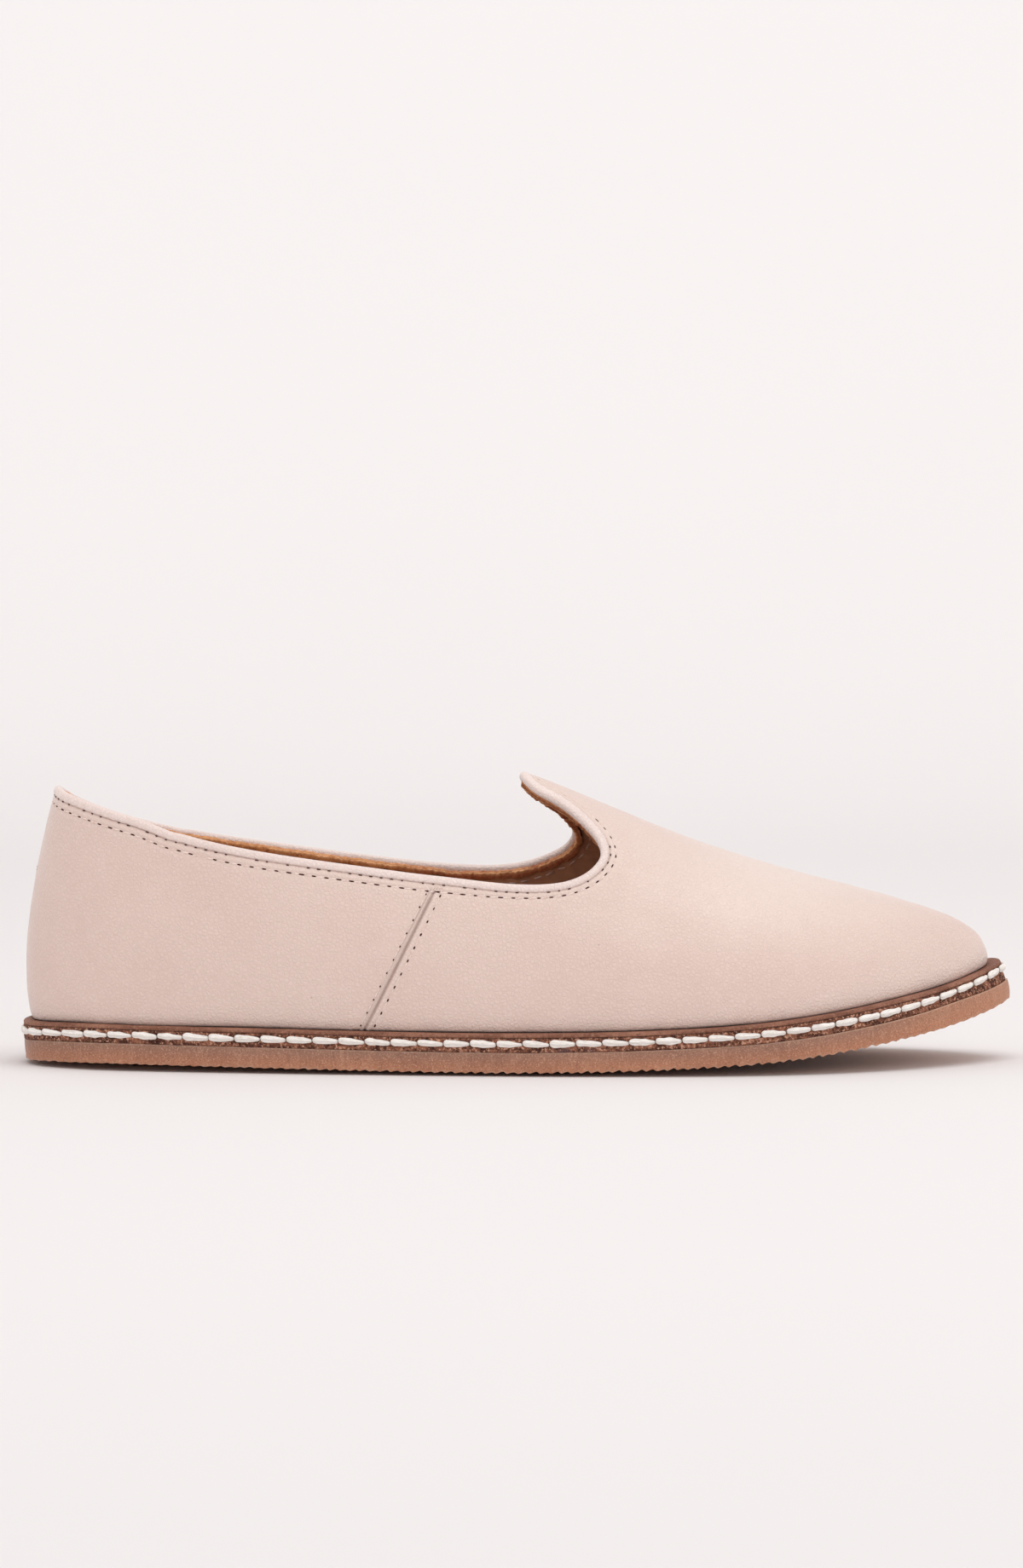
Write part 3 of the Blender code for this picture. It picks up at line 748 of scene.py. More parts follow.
def gum_rubber(name):
    """Amber gum rubber: greyer along the cement line, warmer below and at the toe; painted highlight along the
    bottom edge.
    """
    s = Shader(name, Specular_IOR_Level=0.4, Subsurface_Weight=0.18,
               Subsurface_Scale=0.004)
    s.bsdf.inputs["Subsurface Radius"].default_value = (1.0, 0.45, 0.2)
    cloud = s.noise(60, 4, 0.6)
    top = s.mix(s.span(cloud, 0.3, 0.7), lin(144, 104, 87), lin(160, 118, 98))
    low = s.mix(s.span(cloud, 0.3, 0.7), lin(168, 112, 84), lin(182, 124, 94))
    col = s.mix(s.span(s.field("low"), 0.0, 1.0), top, low)
    col = s.mix(s.math("MULTIPLY", s.field("toe"), 0.6), col, lin(186, 128, 96))
    brush = s.noise(560, 4, 0.7, stretch=(1.0, 1.0, 0.22))
    speck = s.noise(2300, 3, 0.7)
    col = s.mix(s.span(brush, 0.52, 0.75, 0.0, 0.36), col, lin(204, 158, 130))
    col = s.mix(s.span(brush, 0.28, 0.46, 0.30, 0.0), col, lin(120, 78, 60))
    col = s.mix(s.span(speck, 0.54, 0.66, 0.0, 0.6), col, lin(214, 168, 140))
    col = s.mix(s.span(speck, 0.34, 0.46, 0.5, 0.0), col, lin(114, 73, 56))
    # lighter along the cement line at the top, and painted highlight on the tooth edges along the bottom
    col = s.mix(s.math("MULTIPLY", s.field("glue_and_highlight"), 0.6), col, lin(205, 170, 148))
    dust = s.math("MULTIPLY", s.span(s.cells(330), 0.03, 0.07, 1.0, 0.0),
                  s.span(s.noise(90), 0.5, 0.6))
    col = s.mix(s.math("MULTIPLY", dust, 0.7), col, lin(232, 210, 196))
    n = s.bump(brush, 0.00014, 0.6)
    n = s.bump(speck, 0.00010, 0.7, n)
    return s.finish(col, s.span(cloud, 0.3, 0.7, 0.46, 0.6), n)


PINK = pink_leather("pink_leather")
# The fold is the same pink leather as the upper; its lighter tone is painted highlight.
ROLL = pink_leather("pink_roll", dirt_and_painted_light=False, tone=(240, 222, 215), pucker=True)
LINING = lining_leather("lining", dark=(174, 124, 96), light=(204, 154, 122))
SOCK = lining_leather("sock", dark=(144, 101, 73), light=(164, 119, 88))
RAW = raw_edge("raw_edge")
PINK_THREAD = thread("pink_thread", (243, 226, 218), (216, 188, 176))
LINING_THREAD = thread("lining_thread", (214, 186, 172), (170, 138, 122))
TACK_THREAD = thread("tack_thread", (200, 168, 156), (158, 124, 112))
# dark beads of painted shade at the needle holes
HOLE_SHADE = hole("needle_hole_shade")
COTTON = cotton("welt_cord")
LEATHER = sole_leather("sole_leather")
RUBBER_MAT = gum_rubber("gum_rubber")

# ------------------------------------------------------------------- upper
SEAM_AT = 0.43             # column of the side seam on each side
TUCK = 1.5                 # the shell ends this far below the collar's top
SKIN = 1.15                # pink leather alone


def upper_columns():
    """Columns round one side, closer together at the seams."""
    base = np.linspace(0, 1, 237)
    near = SEAM_AT + np.arange(-4.8, 4.81, 0.3) / 240.0
    back = np.array([0.0, 0.25, 0.5, 0.75, 1.0, 1.4, 1.9, 2.5]) / 240.0
    keep = base[(np.abs(base - SEAM_AT) > 5.0 / 240) & (base > 3.0 / 240)]
    return np.sort(np.concatenate([keep, near, back]))


def row_places(count, ends=0.45):
    t = np.linspace(0, 1, count)
    return t - ends * np.sin(2 * math.pi * t) / (2 * math.pi)


def wall_points(a, rows):
    """Wall points in columns at places a on each side, side seams drawn straight."""
    even = np.linspace(0, 1, 361)
    foot, collar = lines(even)
    down = collar_frame(collar)[2]
    grid = wall_grid(foot, on_last((collar + down * TUCK)[:, :2]), rows)[0]
    n = len(even)
    sides = [grid[:, :n], np.concatenate([grid[:, :1], grid[:, :n - 2:-1]], axis=1)]
    fall = np.where(a < SEAM_AT, smooth(a, 0.08, 0.39), 1 - smooth(a, 0.47, 0.64))
    made = []
    for side in sides:
        k = int(round(SEAM_AT * (n - 1)))
        low, high = side[0, k], side[-1, k]
        out = np.zeros((len(rows), len(a), 3))
        for r, line in enumerate(side):
            want = low[0] + (high[0] - low[0]) * (line[:, 2] - low[2]) / (high[2] - low[2])
            near = slice(k - 60, k + 61)
            at = np.interp(0.0, (line[:, 0] - want)[near], even[near])
            moved = a + (at - even[k]) * fall
            for j in range(3):
                out[r, :, j] = np.interp(moved, even, line[:, j])
        made.append(out)
    return np.concatenate([made[0], made[1][:, -2:0:-1]], axis=1)


A = upper_columns()
FOOT, COLLAR = lines(A)
COLS = len(FOOT)
ROWS = row_places(100)
BASE = wall_points(A, ROWS)
_edge = np.roll(FOOT, -1, axis=0) - np.roll(FOOT, 1, axis=0)
SIDE = unit(np.stack([_edge[:, 1], -_edge[:, 0]], axis=-1))
SIDE *= -np.sign(SIDE[COLS // 4, 1])
COLLAR_LINE = on_last(collar_curve(6000))
COLLAR_ARC = arc(np.vstack([COLLAR_LINE, COLLAR_LINE[:1]]))
COLLAR_LENGTH = float(COLLAR_ARC[-1])


def lengths(grid):
    """Up from the welt, down from the collar, and place along it, at each point."""
    s = np.vstack([np.zeros((1, grid.shape[1])),
                   np.cumsum(np.linalg.norm(np.diff(grid, axis=0), axis=2), axis=0)])
    tree = kdtree.KDTree(len(COLLAR_LINE))
    for i, p in enumerate(COLLAR_LINE):
        tree.insert(p, i)
    tree.balance()
    found = [tree.find(p) for p in grid.reshape(-1, 3)]
    d = np.array([f[2] for f in found]).reshape(s.shape)
    near = COLLAR_ARC[[f[1] for f in found]].reshape(s.shape)
    return s, d, near


UP, FROM_TOP, COLLAR_S = lengths(BASE)
_on_tab = smooth(COLLAR_LINE[:, 2], 57, 64) * smooth(COLLAR_LINE[:, 0], 120, 130)
TAB = np.interp(COLLAR_S, COLLAR_ARC[:-1], _on_tab)
LEFT_SEAM = int(np.argmin(np.abs(A - SEAM_AT)))
RIGHT_SEAM = COLS - LEFT_SEAM


def seam_offset(grid, column):
    """Signed distance from a column, towards the toe, at each point."""
    lead = 1.0 if column < COLS // 2 else -1.0
    gap = grid - grid[:, column:column + 1]
    sign = np.sign(np.arange(COLS) - column) * lead
    near = np.abs(np.arange(COLS) - column) < 60
    return np.where(near, sign, 1e3) * np.linalg.norm(gap, axis=2)


SEAM_OFF = [seam_offset(BASE, LEFT_SEAM), seam_offset(BASE, RIGHT_SEAM)]
_ids = np.arange(COLS)
_turned = np.where(_ids > COLS // 2, _ids - COLS, _ids)
BACK_OFF = np.where(np.abs(_turned) < 40, np.sign(_turned), 1e3) * \
    np.linalg.norm(BASE - BASE[:, :1], axis=2)

# main folds of the leather on the last: from, to, depth, width
FOLDS = table("x0 y0 z0 x1 y1 z1 depth width", [
    (160.5, -25.0, 58.0, 183.0, -27.0, 45.0, 0.30, 4.5),
    (160.0, -19.0, 63.0, 186.0, -13.0, 55.5, 0.22, 5.0),
    (158.5, -30.0, 52.0, 176.0, -37.0, 33.0, 0.24, 5.5),
    (153.0, 22.0, 60.0, 178.0, 24.0, 48.0, 0.28, 5.0),
    (18.0, -28.0, 30.0, 62.0, -37.0, 17.0, 0.35, 8.0),
    (24.0, -30.0, 52.0, 70.0, -35.0, 34.0, 0.22, 9.0),
    (20.0, 27.0, 36.0, 66.0, 30.0, 18.0, 0.30, 8.0),
    (196.0, -36.0, 24.0, 228.0, -20.0, 33.0, 0.20, 8.0),
])


def fold_depth(p):
    out = np.zeros(p.shape[:-1])
    for i in range(len(FOLDS["x0"])):
        f = {k: v[i] for k, v in FOLDS.items()}
        a = np.array([f["x0"], f["y0"], f["z0"]])
        b = np.array([f["x1"], f["y1"], f["z1"]])
        t = np.clip(((p - a) @ (b - a)) / ((b - a) @ (b - a)), 0, 1)
        d = np.linalg.norm(p - (a + t[..., None] * (b - a)), axis=-1)
        fade = np.sin(math.pi * np.clip(0.12 + 0.88 * t, 0, 1)) ** 0.7
        w = f["width"]
        out += f["depth"] * fade * (bell(d, 0, w) - 0.55 * bell(d, 1.9 * w, w))
    return -out


ROW1 = 2.45                # in-seam line under the roll, from the collar's top
ROW2 = 4.55                # second sewn row
PITCH1 = 2.75
PITCH2 = 3.4
# the second row closes up on the first round the notch
ROW2_AT = ROW2 - 0.55 * smooth(BASE[-1, :, 0], 112, 138)
_n1 = round(COLLAR_LENGTH / PITCH1)
_n2 = round(COLLAR_LENGTH / PITCH2)
PHASE1 = 2 * math.pi * _n1 * COLLAR_S / COLLAR_LENGTH
PHASE2 = 2 * math.pi * _n2 * COLLAR_S / COLLAR_LENGTH


def upper_relief():
    """How far the leather stands in or out of the last, at each grid point."""
    d = FROM_TOP
    r = fold_depth(BASE) + 0.10 * ripple(BASE, 34, 3) + 0.03 * ripple(BASE, 9, 4)
    r -= (0.30 - 0.22 * TAB) * (1 - smooth(d, 1.7, 3.0))
    r -= 0.17 * bell(d, ROW2_AT, 0.5) * (0.65 + 0.35 * np.cos(PHASE2))
    r += 0.12 * bell(d, (ROW1 + ROW2_AT) / 2 + 0.1, 0.55)
    r += 0.05 * np.cos(PHASE2) * bell(d, ROW2_AT + 1.2, 1.0)
    for q in SEAM_OFF:
        inside = smooth(d, ROW1, ROW2)
        along = np.cos(2 * math.pi * UP / 3.7)
        r += inside * (-0.48 * bell(q, 0.15, 0.45) + 0.20 * bell(q, 0.95, 0.42)
                       + 0.17 * bell(q, -0.65, 0.33)
                       - 0.15 * bell(q, -1.5, 0.28) * (0.75 + 0.25 * along)
                       - 0.15 * bell(q, 2.3, 0.28) * (0.75 + 0.25 * along)
                       + 0.05 * bell(np.abs(q), 3.3, 0.8))
    q = BACK_OFF
    r += smooth(d, ROW1, ROW2) * (-0.34 * bell(q, 0, 0.38) + 0.12 * bell(np.abs(q), 1.0, 0.5))
    return r


NORMAL0 = grid_normals(BASE)
RELIEF = upper_relief()
SKIN_OUT = BASE + NORMAL0 * RELIEF[..., None]
SKIN_N = grid_normals(SKIN_OUT)

# Dirt and painted shade along the welt line, faded out towards the toe.
_wobble = 0.5 + 0.5 * np.clip(ripple(BASE, 16, 11), -1, 1)
WELT_DIRT_AND_SHADE = np.clip(0.62 * np.exp(-UP / 0.5) + 0.16 * np.exp(-UP / 1.8) * (0.6 + 0.8 * _wobble), 0, 1)
WELT_DIRT_AND_SHADE *= 1 - 0.92 * smooth(BASE[..., 0], 170, 235)
# Painted shade in the seam grooves and along the sewn rows under the roll.
SEAM_SHADE = np.zeros_like(UP)
# Painted highlight beside the seams, between the sewn rows, over the top of the vamp, and low along the welt, most
# at the toe.
PAINTED_LIGHT = np.zeros_like(UP)
for _q in SEAM_OFF:
    SEAM_SHADE += smooth(FROM_TOP, 3.0, 4.5) * (0.58 * bell(_q, 0.12, 0.48) + 0.48 * bell(_q, -0.95, 0.16)
                                          + 0.16 * bell(_q, -1.5, 0.16) + 0.10 * bell(_q, 2.3, 0.16))
    PAINTED_LIGHT += smooth(FROM_TOP, 3.0, 4.5) * (0.30 * bell(_q, 1.15, 0.4) + 0.25 * bell(_q, -0.55, 0.25))
SEAM_SHADE += 0.30 * smooth(FROM_TOP, 3.0, 4.5) * bell(BACK_OFF, 0, 0.35)
SEAM_SHADE += 0.66 * (1 - 0.85 * TAB) * bell(FROM_TOP, ROW1 - 0.05, 0.22 + 0.05 * np.cos(PHASE1))
SEAM_SHADE += 0.10 * bell(FROM_TOP, ROW2_AT, 0.22)
PAINTED_LIGHT += 0.22 * bell(FROM_TOP, ROW1 + 1.0, 0.4) + 0.10 * bell(FROM_TOP, ROW2_AT + 1.0, 0.7)
PAINTED_LIGHT += 0.55 * bell(BASE[..., 0], 205, 40) * smooth(BASE[..., 2], 26, 48)
PAINTED_LIGHT += (0.40 + 0.50 * smooth(BASE[..., 0], 190, 240)) * np.exp(-UP / 3.5)
SEAM_SHADE, PAINTED_LIGHT = np.clip(SEAM_SHADE, 0, 1), np.clip(PAINTED_LIGHT, 0, 1)


def build_upper():
    """The pink shell: outside with its relief, inner face, closed at both rims."""
    hem = SKIN_OUT[0] - np.column_stack([SIDE, np.zeros(COLS)]) * 0.9
    hem[:, 2] = welt_z(hem[:, 0]) - 0.05
    rows = [hem] + list(SKIN_OUT)
    pick = np.unique(np.linspace(0, len(BASE) - 1, 14).astype(int))[::-1]
    inner = [BASE[i] - NORMAL0[i] * SKIN for i in pick]
    inner[-1] = SKIN_OUT[0] - np.column_stack([SIDE, np.zeros(COLS)]) * (SKIN + 0.3)
    inner[-1][:, 2] = welt_z(inner[-1][:, 0]) + 0.1
    grid = np.array(rows + inner)
    pad = np.zeros((len(inner), COLS))
    fields = {}
    for key, f, low in (("dirt_and_painted_light", WELT_DIRT_AND_SHADE, 1.0), ("seam", SEAM_SHADE, 0.0), ("painted_light", PAINTED_LIGHT, 0.0)):
        fields[key] = np.vstack([np.full((1, COLS), low), f, pad])
    return piece("upper_leather", grid, [grid_faces(len(grid), COLS, wrap_rows=True)],
                 PINK, "upper", fields)


# creases of the lining inside the inner side, by the notch: from, to, height, width
LINING_FOLDS = table("x0 z0 x1 z1 high width", [
    (130.0, 51.0, 141.0, 42.0, 0.35, 1.6),
    (139.0, 53.5, 147.0, 44.0, 0.45, 1.4),
    (145.0, 57.0, 153.0, 46.0, 0.55, 1.5),
    (149.5, 61.0, 158.0, 50.0, 0.50, 1.3),
    (151.0, 65.0, 163.0, 56.0, 0.45, 1.4),
])


def lining_folds(p):
    """Height of the lining's creases at points of the wall."""
    out = np.zeros(p.shape[:-1])
    flat = p[..., [0, 2]]
    for x0, z0, x1, z1, high, width in zip(*LINING_FOLDS.values()):
        a, b = np.array([x0, z0]), np.array([x1, z1])
        t = np.clip(((flat - a) @ (b - a)) / ((b - a) @ (b - a)), 0, 1)
        d = np.linalg.norm(flat - (a + t[..., None] * (b - a)), axis=-1)
        out += high * np.sin(math.pi * (0.1 + 0.8 * t)) * bell(d, 0, width)
    return out * smooth(p[..., 1], 0, 6)


def build_lining():
    """Brown lining inside the shell, with slack folds of its own."""
    pick = np.unique(np.linspace(0, len(BASE) - 1, 50).astype(int))
    base, nrm = BASE[pick], NORMAL0[pick].copy()
    nrm[0] = np.column_stack([SIDE, np.zeros(COLS)])
    slack = 0.10 * ripple(base, 22, 21) + 0.05 * ripple(base, 8, 22) + lining_folds(base)
    face = base - nrm * (WALL + slack)[..., None]
    face[..., 2] = np.maximum(face[..., 2], welt_z(face[..., 0]) + 0.1)
    back = [BASE[i] - NORMAL0[i] * (SKIN + 0.06) for i in pick[::6][::-1]]
    back[-1] = face[0] + np.column_stack([SIDE, np.zeros(COLS)]) * 0.5
    grid = np.array(list(face) + back)
    piece("upper_lining", grid, [grid_faces(len(grid), COLS, wrap_rows=True)], LINING)
    return face, nrm, FROM_TOP[pick]


# ------------------------------------------------------------------ collar
def collar_dense(count):
    """Even points along the collar with their directions."""
    dense = on_last(collar_curve(6000))
    closed = np.vstack([dense, dense[:1]])
    c = spaced(closed, np.linspace(0, 1, count, endpoint=False))
    return (c,) + collar_frame(c)


def build_roll():
    """Turned collar edge: a flat fold, nipped by the sewing under it."""
    n = 1300
    c, along, out, down = collar_dense(n)
    s = np.linspace(0, COLLAR_LENGTH, n, endpoint=False)
    nip = np.cos(2 * math.pi * _n1 * s / COLLAR_LENGTH)
    slow = 0.04 * np.sin(2 * math.pi * s / COLLAR_LENGTH * 9 + 1) + \
        0.03 * np.sin(2 * math.pi * s / COLLAR_LENGTH * 23 + 2)
    tab = smooth(c[:, 2], 58, 66) * smooth(c[:, 0], 120, 130)
    heel = 1 - smooth(c[:, 0], 14, 40)
    tall = 1.22 + 0.14 * heel + 0.26 * tab + 0.5 * slow
    wide = 1.18 + 0.16 * tab + slow
    middle = -0.84 - 0.26 * tab
    rings = []
    steps = 22
    for k in range(steps):
        t = 2 * math.pi * k / steps
        low = float(smooth(np.array(math.sin(t) * 0.8 - math.cos(t) * 0.6), 0.2, 1.0))
        x = math.copysign(abs(math.sin(t)) ** 0.80, math.sin(t))
        y = math.copysign(abs(math.cos(t)) ** 0.90, math.cos(t))
        sunk = low * (1 - nip)
        rings.append(c + down * (tall * (1 - y) - 0.05 * sunk)[:, None]
                     + out * (middle + wide * x - 0.06 * sunk)[:, None])
    grid = np.array(rings)
    pucker = 0.15 + 0.85 * smooth(c[:, 0], 138, 152)
    fields = {"along": np.tile(s, (steps, 1)), "pucker": np.tile(pucker, (steps, 1)),
              "around": np.repeat(np.arange(steps) * 7.6 / steps, n)}
    piece("collar_roll", grid, [grid_faces(steps, n, wrap_rows=True)], ROLL,
          "collar_binding", fields)


def build_raw_band():
    """Raw cut facing inside the collar: a torn, two-layered edge below the fold."""
    n = 1300
    c, along, out, down = collar_dense(n)
    s = np.linspace(0, 2 * math.pi, n, endpoint=False)
    g = np.random.default_rng(5)

    def ragged(amp):
        return amp * sum(g.uniform(0.4, 1.0) * np.sin(k * s + g.uniform(0, 6.28)) for k in
                         (29, 47, 61, 83, 121, 173, 211, 263, 331)) / 2.2

    high, inner, low = ragged(0.16), ragged(0.15), ragged(0.22)
    tab = smooth(c[:, 2], 57, 64) * smooth(c[:, 0], 120, 130)
    step = smooth(c[:, 0], 114.0, 115.2)
    sunk = np.where(c[:, 1] > 0, 0.14 + 0.70 * step, 0.20 + 0.55 * smooth(c[:, 0], 58, 100))
    sunk = sunk * (1 - tab) + 0.15 * tab
    lap = np.where(c[:, 1] > 0, 0.35 * (1 - step), 0.0) + 0.85 * tab
    # painted shade by the notch and on the tab
    band_shade = np.maximum(smooth(c[:, 0], 92, 116) * (1 - tab), 0.85 * tab)
    # by the notch the inner side's band laps higher up the fold
    shelf = sunk - np.where(c[:, 1] > 0, 0.55 * smooth(c[:, 0], 116, 124), 0.0) * (1 - tab)
    # Section of the band, ring by ring: drop down the wall, offset out of it, painted highlight on its rims,
    # whether it follows the ragged top, which layer it is in, and painted shade in the slit between the layers.
    profile = [(1.40, -1.80, 0.0, 0, 0, 1.0), (1.00, -1.96, 0.2, 1, 0, 0.9),
               (0.85, -2.14, 0.9, 1, 0, 0.1), (0.84, -2.42, 0.3, 1, 0, 0.0),
               (0.92, -2.70, 0.8, 1, 0, 0.0), (1.06, -2.80, 0.1, 1, 1, 0.55),
               (0.98, -2.92, 0.9, 1, 1, 0.1), (1.15, -3.12, 1.0, 1, 1, 0.0),
               (1.45, -3.20, 0.45, 1, 1, 0.0), (1.90, -3.18, 0.1, 0, 1, 0.0),
               (2.32, -3.14, 0.3, 0, 2, 0.0), (2.58, -3.00, 1.0, 0, 2, 0.0),
               (2.68, -2.78, 0.6, 0, 2, 0.2), (2.62, -2.40, 0.1, 0, 2, 0.5),
               (2.55, -1.80, 0.0, 0, 0, 1.0)]
    rings, rim, slit_shade = [], [], []
    for d, o, rim_highlight, top, side, dark in profile:
        drop = d + (shelf if top else sunk) + (high if top else 0) + (low if side == 2 else 0)
        depth = o + (inner if side else 0.4 * inner) * (0.3 if d < 1.0 else 1.0) - lap * (side > 0)
        rings.append(c + down * np.broadcast_to(drop, (n,))[:, None] + out * depth[:, None])
        rim.append(np.full(n, rim_highlight))
        slit_shade.append(np.full(n, dark))
    grid = np.array(rings)
    piece("collar_raw_edge", grid, [grid_faces(len(profile), n, wrap_rows=True)], RAW,
          fields={"rim": np.array(rim), "slit_shade": np.array(slit_shade),
                  "band_shade": np.tile(band_shade, (len(profile), 1))})


# ------------------------------------------------------------------ sewing
def bead(rings, sides):
    """Unit grain along x: rings of points between two poles, and its faces."""
    u = np.linspace(0, 1, rings + 2)[1:-1]
    v = np.linspace(0, 2 * math.pi, sides, endpoint=False)
    quads = grid_faces(rings, sides) + 1
    first = np.stack([np.zeros(sides, int), 1 + (np.arange(sides) + 1) % sides,
                      1 + np.arange(sides)], axis=-1)
    base = 1 + (rings - 1) * sides
    lastp = base + sides
    last = np.stack([np.full(sides, lastp), base + np.arange(sides),
                     base + (np.arange(sides) + 1) % sides], axis=-1)
    return u, v, quads, np.vstack([first, last])


def stitches(name, centre, along, out, length, wide, high, mat, sink=0.3,
             rings=7, sides=8, bow=0.0):
    """Short lengths of thread lying on a surface, joined into one mesh."""
    u, v, quads, tris = bead(rings, sides)
    n = len(centre)
    along, out = unit(along), unit(out)
    out = unit(out - along * np.sum(out * along, axis=1, keepdims=True))
    across = np.cross(out, along)
    length = np.broadcast_to(length, (n,))
    t = np.concatenate([[-1.0], 2 * u - 1, [1.0]])
    fat = np.concatenate([[0.0], (1 - np.abs(2 * u - 1) ** 2.6) ** 0.5, [0.0]])
    parts = []
    for k, (tt, ff) in enumerate(zip(t, fat)):
        ang = v if 0 < k < len(t) - 1 else np.zeros(1)
        lift = high * (1 - 2 * sink) / 2 * 1.0 - bow * tt * tt
        p = (centre[:, None] + along[:, None] * (tt * length / 2)[:, None, None]
             + across[:, None] * (np.cos(ang) * wide / 2 * ff)[None, :, None]
             + out[:, None] * (np.sin(ang) * high / 2 * ff + lift)[None, :, None])
        parts.append(p)
    verts = np.concatenate(parts, axis=1)
    m = verts.shape[1]
    move = (np.arange(n) * m)[:, None, None]
    return piece(name, verts.reshape(-1, 3),
                 [(quads[None] + move).reshape(-1, 4), (tris[None] + move).reshape(-1, 3)],
                 mat)


def level_line(grid, field, value):
    """Where each column of a grid reaches a field's value (falling upward)."""
    out = np.zeros((grid.shape[1], 3))
    value = np.broadcast_to(value, (grid.shape[1],))
    for c in range(grid.shape[1]):
        f = field[::-1, c]
        for k in range(3):
            out[c, k] = np.interp(value[c], f, grid[::-1, c, k])
    return out


def along_line(line, nrm, places):
    """Points, directions and normals at lengths along a closed line."""
    closed = np.vstack([line, line[:1]])
    s = arc(closed)
    places = np.mod(places, s[-1])
    wrap = np.vstack([nrm, nrm[:1]])

    def at(values, x):
        return np.column_stack([np.interp(np.mod(x, s[-1]), s, values[:, k]) for k in range(3)])

    p = at(closed, places)
    t = at(closed, places + 0.6) - at(closed, places - 0.6)
    return p, unit(t), unit(at(wrap, places))


def build_collar_sewing(face, face_n, face_top):
    """Two rows on the outside of the collar and one on the lining."""
    g = np.random.default_rng(31)
    line = level_line(SKIN_OUT, FROM_TOP, ROW2_AT)
    nline = unit(level_line(SKIN_N, FROM_TOP, ROW2_AT))
    total = arc(np.vstack([line, line[:1]]))[-1]
    n = round(total / PITCH2)
    s = (np.arange(n) + 0.5) * total / n
    p, t, o = along_line(line, nline, s)
    t = unit(t + 0.05 * g.normal(size=t.shape) + 0.12 * np.cross(o, t))
    stitches("collar_thread", p - o * 0.05, t, o, PITCH2 * 0.70, 0.38, 0.36, PINK_THREAD,
             sink=0.30, bow=0.12)
    # dark beads of painted shade at the needle holes of the second row
    p, t, o = along_line(line, nline, s + total / n / 2)
    tab = smooth(p[:, 2], 61, 66) * smooth(p[:, 0], 120, 130) * (1 - smooth(p[:, 0], 152, 156))
    size = 1.55 * g.uniform(0.7, 1.15, n) * (1 - 0.6 * tab)
    keep = (g.uniform(size=n) > 0.06) & (tab < 0.5)
    stitches("collar_hole_shade", (p - o * 0.03)[keep], t[keep], o[keep], size[keep], 0.50, 0.18,
             HOLE_SHADE, sink=0.45, rings=5)

    # dark beads of painted shade at the needle holes of the in-seam row
    line = level_line(SKIN_OUT, FROM_TOP, ROW1 + 0.12)
    nline = unit(level_line(SKIN_N, FROM_TOP, ROW1 + 0.12))
    total = arc(np.vstack([line, line[:1]]))[-1]
    n = _n1
    s = (np.arange(n) + 0.5) * total / n
    p, t, o = along_line(line, nline, s)
    keep = (g.uniform(size=n) > 0.14) & ~((p[:, 2] > 61) & (p[:, 0] > 120))
    stitches("in_seam_hole_shade", (p + o * 0.06)[keep], t[keep], o[keep],
             (0.95 * g.uniform(0.6, 1.2, n))[keep], 0.36, 0.26, HOLE_SHADE, sink=0.4, rings=5)

    line = level_line(face, face_top, 5.2)
    nline = -unit(level_line(face_n, face_top, 5.2))
    total = arc(np.vstack([line, line[:1]]))[-1]
    n = round(total / 3.6)
    s = (np.arange(n) + 0.5) * total / n
    p, t, o = along_line(line, nline, s)
    t = unit(t + 0.08 * g.normal(size=t.shape))
    stitches("lining_thread", p, t, o, 2.7, 0.5, 0.42, LINING_THREAD, sink=0.25, bow=0.1)


